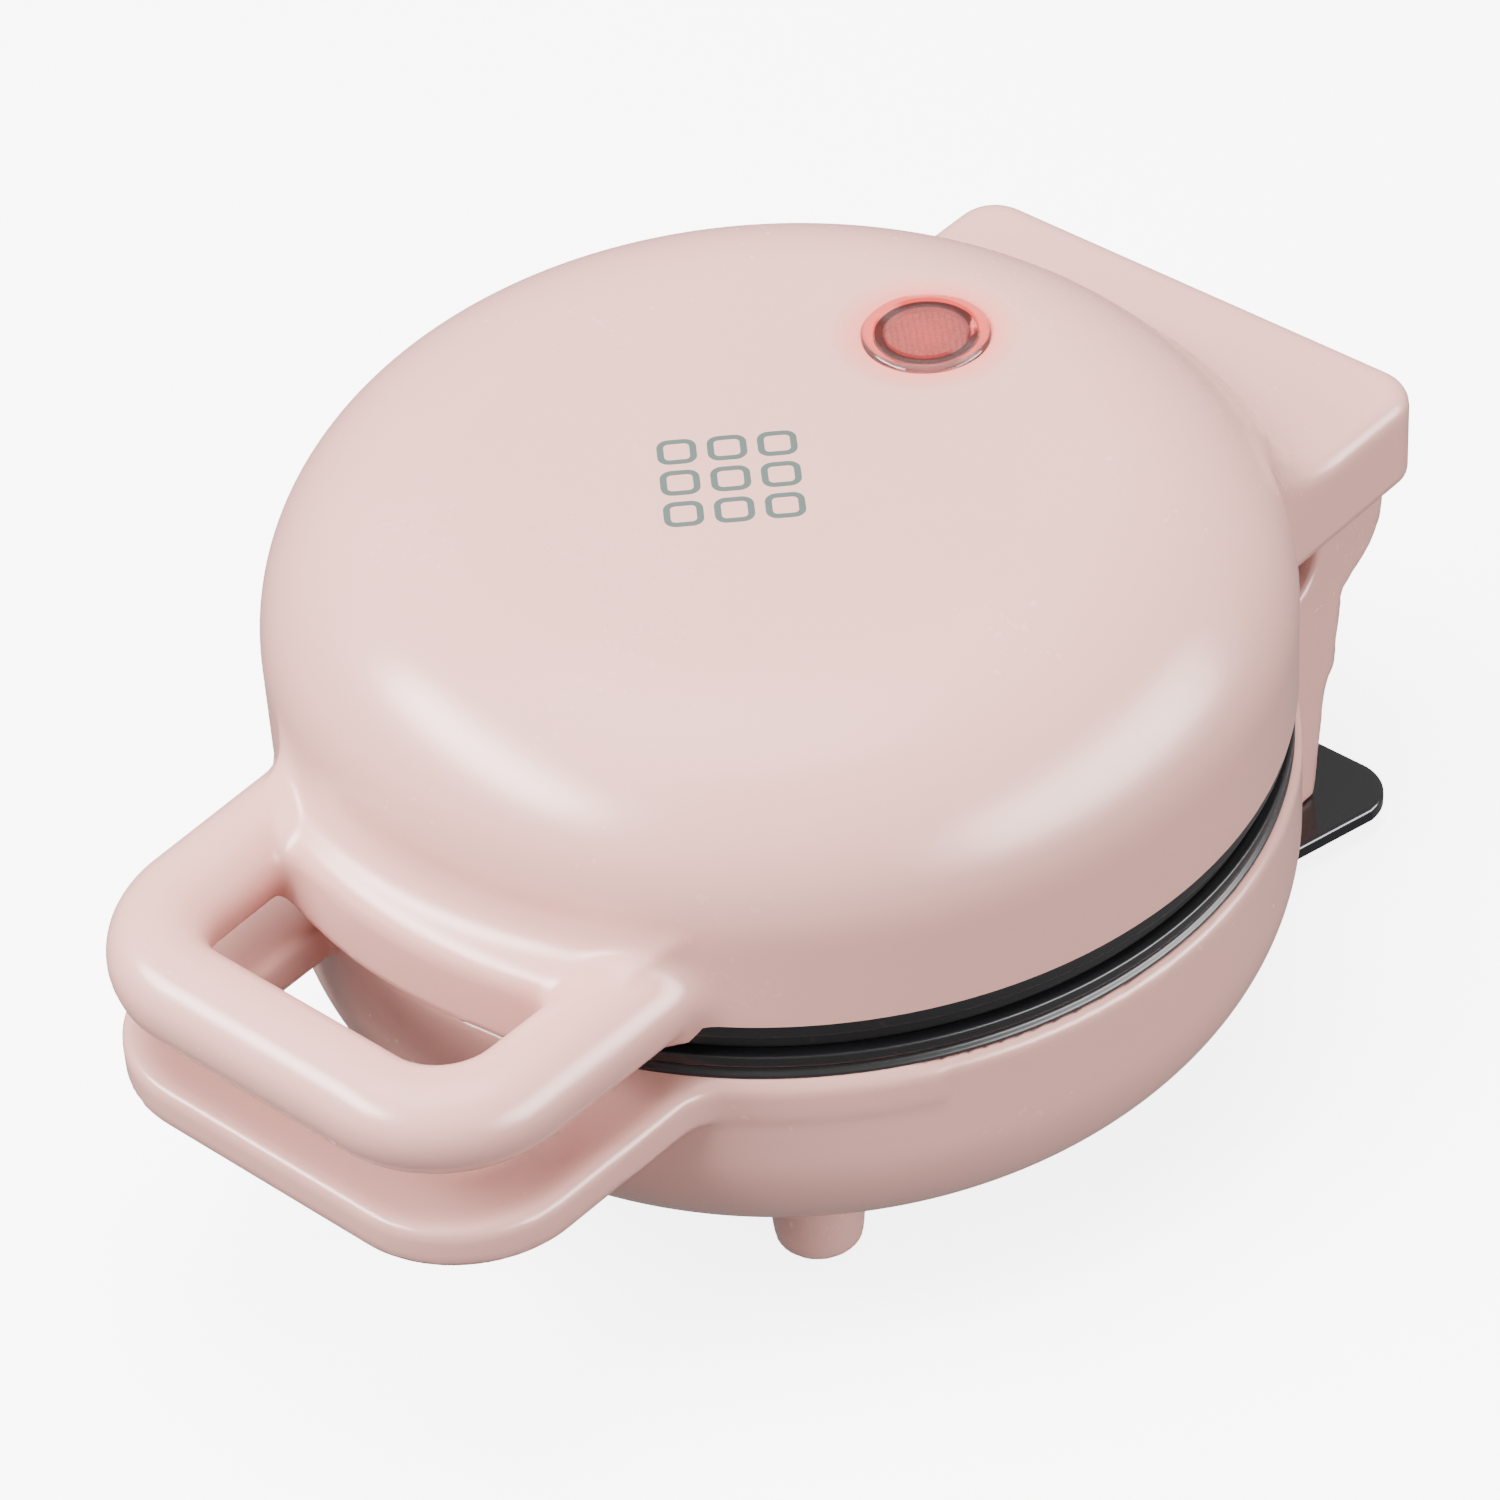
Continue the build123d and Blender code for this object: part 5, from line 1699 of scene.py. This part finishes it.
@dataclass
class ScrewSet:
    """Pan-head screws with a cross recess, all pointing up."""

    node: str
    name: str
    head_radius: float
    head_height: float
    shank_radius: float

    def unit(self) -> tuple[bpy.types.Object, float]:
        """One screw with its head's underside seat at the origin.

        Returns:
            The object and the height of the set's lowest point.
        """
        low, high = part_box(self.node)
        length = (high.z - low.z) / MM
        radius, head, shank = self.head_radius, self.head_height, self.shank_radius
        corners = [(0, 0), (radius * 0.55, 0.02), (radius * 0.9, head * 0.35), (radius, head * 0.75),
                   (radius, head), (shank, head)]
        turns = int((length - head - 1) / 0.7)
        for index in range(turns):
            start = head + 0.8 + index * 0.7
            corners += [(shank, start), (shank * 0.82, start + 0.35)]
        corners += [(shank, length - 0.6), (shank * 0.6, length), (0, length)]
        vertices, faces = turned(corners, 32)
        piece = new_piece(self.name, vertices, faces, 0.0)
        face_outwards(piece)
        cutter = self.recess()
        carve(piece, [cutter])
        return piece, low.z

    def recess(self) -> bpy.types.Object:
        """Cross-shaped cutter for the head."""
        long, short, depth = self.head_radius * 0.55, self.head_radius * 0.14, self.head_height * 0.6
        work = bmesh.new()
        corners = [(long, short), (short, short), (short, long), (-short, long), (-short, short),
                   (-long, short), (-long, -short), (-short, -short), (-short, -long), (short, -long),
                   (short, -short), (long, -short)]
        bottom = [work.verts.new(Vector((x, y, -1.0)) * MM) for x, y in corners]
        top = [work.verts.new(Vector((x * 0.7, y * 0.7, depth)) * MM) for x, y in corners]
        work.faces.new(list(reversed(bottom)))
        work.faces.new(top)
        for index in range(len(corners)):
            following = (index + 1) % len(corners)
            work.faces.new((bottom[index], bottom[following], top[following], top[index]))
        bmesh.ops.recalc_face_normals(work, faces=work.faces)
        mesh = bpy.data.meshes.new("recess")
        work.to_mesh(mesh)
        work.free()
        cutter = bpy.data.objects.new("recess", mesh)
        bpy.context.scene.collection.objects.link(cutter)
        return cutter

    def build(self, tree: RepeatTree, **places: float) -> bpy.types.Object:
        """Set the screws out.

        Args:
            tree: The tree that sets units on a circle or in a row.
            places: Values for the tree's inputs, apart from its height.

        Returns:
            The piece.
        """
        unit, low = self.unit()
        return tree.grow(unit, Height=low, **places)


@dataclass
class IndicatorLens:
    """Clear red cap over a faceted disc that glows with painted lamp light."""

    levels: Levels
    flange: float = 8.2
    stem: float = 6.6
    proud: float = 0.35
    stem_depth: float = 8.5
    bore: float = 5.55
    skin: float = 0.9
    disc: float = 5.3
    facet_pitch: float = 0.80
    facet_height: float = 0.34

    def cap(self, finishes: Finishes) -> bpy.types.Object:
        """Turn the cap, its top slightly dished.

        Args:
            finishes: The materials.

        Returns:
            The piece.
        """
        seat = self.levels.lid_top - 0.65
        top = self.levels.lid_top + self.proud
        crown = [(self.flange, seat), (self.flange, seat + 0.35)]
        crown += [(self.flange - 1.5 + 1.5 * cos(radians(angle)),
                   top - 0.75 + 0.75 * sin(radians(angle)))
                  for angle in range(10, 91, 10)]
        crown += [(self.stem, top - 0.02), (self.stem - 0.5, top - 0.14), (self.disc, top - 0.2)]
        crown += [(self.disc * (1 - step / 6), top - 0.2 - 0.12 * (step / 6)) for step in range(1, 7)]
        inside = [(0, top - 0.32 - self.skin), (self.bore, top - 0.32 - self.skin),
                  (self.bore, self.levels.lid_top - self.stem_depth),
                  (self.stem, self.levels.lid_top - self.stem_depth), (self.stem, seat)]
        piece = lathe("red_lens_cap", [*crown, *inside], self.levels.axis_y,
                      (0, self.levels.lens_y), 128, 45)
        dress(piece, finishes.lens)
        return piece

    def facets(self, tree: RepeatTree, finishes: Finishes) -> bpy.types.Object:
        """Disc with a field of small pyramids.

        Args:
            tree: The tree that lays out the pyramids.
            finishes: The materials.

        Returns:
            The piece.
        """
        under = self.levels.lid_top + self.proud - 0.32 - self.skin - 0.12
        floor = under - self.facet_height
        half = self.facet_pitch * 0.5
        corners = [(-half, -half, 0), (half, -half, 0), (half, half, 0), (-half, half, 0),
                   (0, 0, self.facet_height), (-half, -half, -0.2), (half, -half, -0.2),
                   (half, half, -0.2), (-half, half, -0.2)]
        faces = [(0, 1, 4), (1, 2, 4), (2, 3, 4), (3, 0, 4), (8, 7, 6, 5), (0, 5, 6, 1), (1, 6, 7, 2),
                 (2, 7, 8, 3), (3, 8, 5, 0)]
        unit = new_piece("facet", np.array(corners), faces, 0.0)
        face_outwards(unit)
        grown = tree.grow(unit, Count=15, Pitch=self.facet_pitch * MM, Turn=radians(45.0),
                          Keep=(self.disc - 0.45) * MM, Edge=self.disc * MM,
                          Middle_Y=(self.levels.axis_y + self.levels.lens_y) * MM, Height=floor * MM)
        corners = soften([(0, floor - 1.2), (self.disc, floor - 1.2), (self.disc, floor + 0.02),
                          (0, floor + 0.02)], 0.2, 3)
        disc = lathe("lit_facet_disc", corners, self.levels.axis_y, (0, self.levels.lens_y), 96)
        dress(disc, finishes.facets)
        return merged(disc, [grown])


@dataclass
class PrintedMark:
    """Plain waffle-grid sign printed on the lid's flat top, as a thin layer of ink."""

    levels: Levels
    cells: int = 3
    pitch: float = 6.2
    cell: float = 4.9
    line: float = 0.85
    layer: float = 0.03
    centre_y: float = -7.3
    turn: float = 45.0

    def frame(self, half: float, corner: float) -> bpy.types.Object:
        """Flat square outline with round corners, on the origin.

        Args:
            half: Half the outer side.
            corner: Outer corner radius.

        Returns:
            The outline as a thin closed solid.
        """
        steps = 6
        outer, inner = [], []
        for quarter in range(4):
            for step in range(steps + 1):
                angle = pi / 2 * (quarter + step / steps)
                centre = Vector((cos(pi / 4 + quarter * pi / 2), sin(pi / 4 + quarter * pi / 2)))
                middle = centre * sqrt(2) * (half - corner)
                way = Vector((cos(angle), sin(angle)))
                outer.append(middle + way * corner)
                inner.append(middle + way * (corner - self.line))
        count = len(outer)
        points = [(p.x, p.y, z) for z in (-self.layer, self.layer) for p in (*outer, *inner)]
        faces = []
        for i in range(count):
            j = (i + 1) % count
            faces.append((2 * count + i, 2 * count + j, 3 * count + j, 3 * count + i))
            faces.append((i, count + i, count + j, j))
            faces.append((i, j, 2 * count + j, 2 * count + i))
            faces.append((count + j, count + i, 3 * count + i, 3 * count + j))
        piece = new_piece("printed_grid_sign", np.array(points), faces, 0.0)
        face_outwards(piece)
        return piece

    def build(self, tree: RepeatTree) -> bpy.types.Object:
        """Print the grid of cells.

        Args:
            tree: The tree that lays out the cells.

        Returns:
            The piece.
        """
        side = self.cells * self.pitch * MM
        return tree.grow(self.frame(self.cell / 2, 1.5), Count=self.cells, Pitch=self.pitch * MM,
                         Turn=radians(self.turn), Keep=side, Edge=side,
                         Middle_Y=(self.levels.axis_y + self.centre_y) * MM,
                         Height=self.levels.lid_top * MM)


# ---- Stage ----


@dataclass(frozen=True)
class Softbox:
    """Rectangular light that faces the object."""

    name: str
    azimuth: float
    elevation: float
    distance: float
    width: float
    height: float
    power: float
    in_diffuse: bool = True
    in_gloss: bool = True

    def build(self, aim: Vector) -> None:
        """Hang the light.

        Args:
            aim: Point that it faces, in metres.
        """
        light = bpy.data.lights.new(self.name, "AREA")
        light.shape = "RECTANGLE"
        light.size, light.size_y = self.width, self.height
        light.energy = self.power
        lamp = bpy.data.objects.new(self.name, light)
        bpy.context.scene.collection.objects.link(lamp)
        a, e = radians(self.azimuth), radians(self.elevation)
        back = Vector((sin(a) * cos(e), -cos(a) * cos(e), sin(e)))
        lamp.location = aim + back * self.distance
        lamp.rotation_euler = (-back).to_track_quat("-Z", "Y").to_euler()
        lamp.visible_diffuse, lamp.visible_glossy = self.in_diffuse, self.in_gloss


@dataclass
class Studio:
    """Pale floor, soft light and the camera."""

    levels: Levels
    azimuth: float = 43.017
    elevation: float = 40.384
    roll: float = -3.752
    distance: float = 759.16
    lens: float = 144.01
    aim_right: float = 4.1945
    aim_up: float = 9.3792
    sky_low: float = 0.30
    sky_high: float = 0.75
    softboxes: tuple[Softbox, ...] = (
        Softbox("left_softbox", -30, 35, 1.1, 1.10, 0.28, 22.0),
        Softbox("left_gleam", -34, 36, 1.1, 0.90, 0.28, 24.0, in_diffuse=False),
        Softbox("right_gleam", 110, 13, 1.1, 1.30, 0.55, 40.0, in_diffuse=False),
        Softbox("right_softbox", 100, 12, 1.1, 1.30, 0.40, 12.0),
        Softbox("top_softbox", -30, 84, 1.3, 0.9, 0.9, 50.0, in_gloss=False),
    )

    def camera(self) -> None:
        """Place the camera on its line of sight through the lid's rim plane."""
        a, e, r = radians(self.azimuth), radians(self.elevation), radians(self.roll)
        back = Vector((sin(a) * cos(e), -cos(a) * cos(e), sin(e)))
        right = Vector((cos(a), sin(a), 0))
        up = back.cross(right)
        across = right * cos(r) + up * sin(r)
        above = up * cos(r) - right * sin(r)
        aim = Vector((0, self.levels.axis_y, self.levels.lid_rim))
        place = aim + back * self.distance - across * self.aim_right - above * self.aim_up
        data = bpy.data.cameras.new("camera")
        data.lens, data.sensor_width = self.lens, 36.0
        data.clip_start, data.clip_end = 0.01, 100.0
        camera = bpy.data.objects.new("camera", data)
        turn = Matrix((across, above, back)).transposed().to_4x4()
        camera.matrix_world = Matrix.Translation(place * MM) @ turn
        bpy.context.scene.collection.objects.link(camera)
        bpy.context.scene.camera = camera

    def floor(self) -> None:
        """Lay a wide pale floor."""
        shader = Shader("pale_floor")
        cloud = shader.noise(240.0, 2.0)
        shader.set(Base_Color=shader.mix(cloud, (0.93, 0.93, 0.93), (0.96, 0.96, 0.96)), Roughness=0.9,
                   Emission_Color=(1.0, 1.0, 1.0), Emission_Strength=5.0)
        floor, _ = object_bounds()
        reach = 6000.0
        points = np.array([(-reach, -reach, 0), (reach, -reach, 0), (reach, reach, 0),
                           (-reach, reach, 0)])
        piece = new_piece("floor", points + (0, 0, floor.z / MM), [(0, 1, 2, 3)], 0.0)
        dress(piece, shader.material)
        piece.visible_diffuse, piece.visible_glossy = False, False
        piece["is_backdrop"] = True

    def sky(self) -> None:
        """Surround the stage with soft light that fades below the horizon."""
        world = bpy.data.worlds.new("studio")
        world.use_nodes = True
        nodes, links = world.node_tree.nodes, world.node_tree.links
        way = nodes.new("ShaderNodeTexCoord")
        split = nodes.new("ShaderNodeSeparateXYZ")
        fade = nodes.new("ShaderNodeMapRange")
        fade.interpolation_type = "SMOOTHSTEP"
        for name, value in (("From Min", -0.6), ("From Max", 0.9), ("To Min", self.sky_low),
                            ("To Max", self.sky_high)):
            fade.inputs[name].default_value = value
        links.new(way.outputs["Generated"], split.inputs[0])
        links.new(split.outputs["Z"], fade.inputs["Value"])
        links.new(fade.outputs[0], nodes["Background"].inputs["Strength"])
        nodes["Background"].inputs["Color"].default_value = (1.0, 1.0, 1.0, 1.0)
        bpy.context.scene.world = world

    def build(self) -> None:
        """Set up the whole stage."""
        self.sky()
        aim = Vector((0, self.levels.axis_y, self.levels.lid_rim)) * MM
        for softbox in self.softboxes:
            softbox.build(aim)
        self.floor()
        self.camera()


# ---- Putting it together ----


def report(piece: bpy.types.Object, body: Body, slot: str, *nodes: str) -> None:
    """Hand a finished piece to its body and say so.

    Args:
        piece: The piece.
        body: The body that it rides on.
        slot: The record's material slot; not used.
        nodes: The CAD nodes that it stands for.
    """
    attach(piece, body.value)
    if nodes:
        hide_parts(*nodes)
    log.info("%s on %s: %d faces", piece.name, body.value, len(piece.data.polygons))


def dress_frame(finishes: Finishes) -> None:
    """Give every CAD node that still shows its material.

    Args:
        finishes: The materials.
    """
    by_slot = {
        "pink_housing": finishes.cover, "grey_rubber": finishes.rubber, "gloss_black": finishes.gloss,
        "black_rubber": finishes.bush, "black_trim": finishes.trim, "non_stick": finishes.coating,
        "element_steel": finishes.element, "tag_brass": finishes.brass, "bright_sheet": finishes.sheet,
        "ceramic_body": finishes.ceramic, "white_nylon": finishes.nylon,
        "lead_white": finishes.insulation, "sleeve_glass": finishes.sleeve, "red_lens": finishes.lens,
        "red_diffuser": finishes.facets, "lamp_glass": finishes.lamp, "screw_steel": finishes.steel,
    }
    for part in frame["record"]["subparts"]:
        node = frame["nodes"][part["node"]]
        dress(node, by_slot[part["material_slot"]])
        log.info("%s keeps its CAD shape in %s", node.name, part["material_slot"])


def build_screws(levels: Levels, finishes: Finishes) -> None:
    """Make the screws that show.

    Args:
        levels: Where things are.
        finishes: The materials.
    """
    post = ScrewSet("base_post_screws", "base_screws", 2.8, 2.0, 1.45)
    piece = post.build(ring_tree("screws_round_a_circle", finishes.steel), Count=3,
                       Circle=BaseShell(levels).post_circle * MM, Turn=radians(-90),
                       Middle_Y=levels.axis_y * MM)
    report(piece, Body.BASE, "screw_steel", post.node)
    row = row_tree("screws_in_a_row", finishes.steel)
    for node, name, body, (head, depth, shank) in (
            ("cord_plate_screws", "cord_plate_pan_screws", Body.BASE, (2.8, 1.8, 1.45)),
            ("lid_handle_screws", "handle_cover_pan_screws", Body.LID, (2.0, 0.8, 1.0))):
        low, high = box_mm(node)
        piece = ScrewSet(node, name, head, depth, shank).build(
            row, Count=2, Pitch=(high.x - low.x - 2 * head) * MM, Middle_Y=(low.y + high.y) / 2 * MM)
        report(piece, body, "screw_steel", node)


def main() -> None:
    """Build every sub-assembly in order."""
    logging.basicConfig(level=logging.INFO, format="%(message)s")
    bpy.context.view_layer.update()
    levels = Levels.from_frame()
    finishes = Finishes(levels)
    dress_frame(finishes)

    report(LidShell(levels).build(finishes), Body.LID, "pink_housing", "lid_housing")
    report(BaseShell(levels).build(finishes), Body.BASE, "pink_housing", "base_housing")

    upper = TrimRing("upper_trim_ring", "upper_band", levels, levels.lid_rim, upwards=False)
    lower = TrimRing("lower_trim_ring", "lower_band", levels, levels.base_rim, upwards=True)
    report(upper.build(finishes), Body.LID, "black_trim", upper.node)
    report(lower.build(finishes), Body.BASE, "black_trim", lower.node)

    squares = grid_tree("waffle_squares", finishes.coating, clipped=True)
    for node, name, body, is_upper in (
            ("lower_cooking_plate", "lower_waffle_plate", Body.BASE, False),
            ("upper_cooking_plate", "upper_waffle_plate", Body.LID, True)):
        plate = CookingPlate(node, name, levels, is_upper)
        report(plate.build(squares, finishes), body, "non_stick", node)

    lens = IndicatorLens(levels)
    report(lens.cap(finishes), Body.LID, "red_lens", "indicator_lens")
    facets = grid_tree("lens_facets", finishes.facets, clipped=False)
    report(lens.facets(facets, finishes), Body.LID, "red_diffuser", "lens_diffuser")

    ink = grid_tree("printed_cells", finishes.ink, clipped=False)
    report(PrintedMark(levels).build(ink), Body.LID, "gloss_black")
    build_screws(levels, finishes)

    Studio(levels).build()


if __name__ == "__main__":
    main()
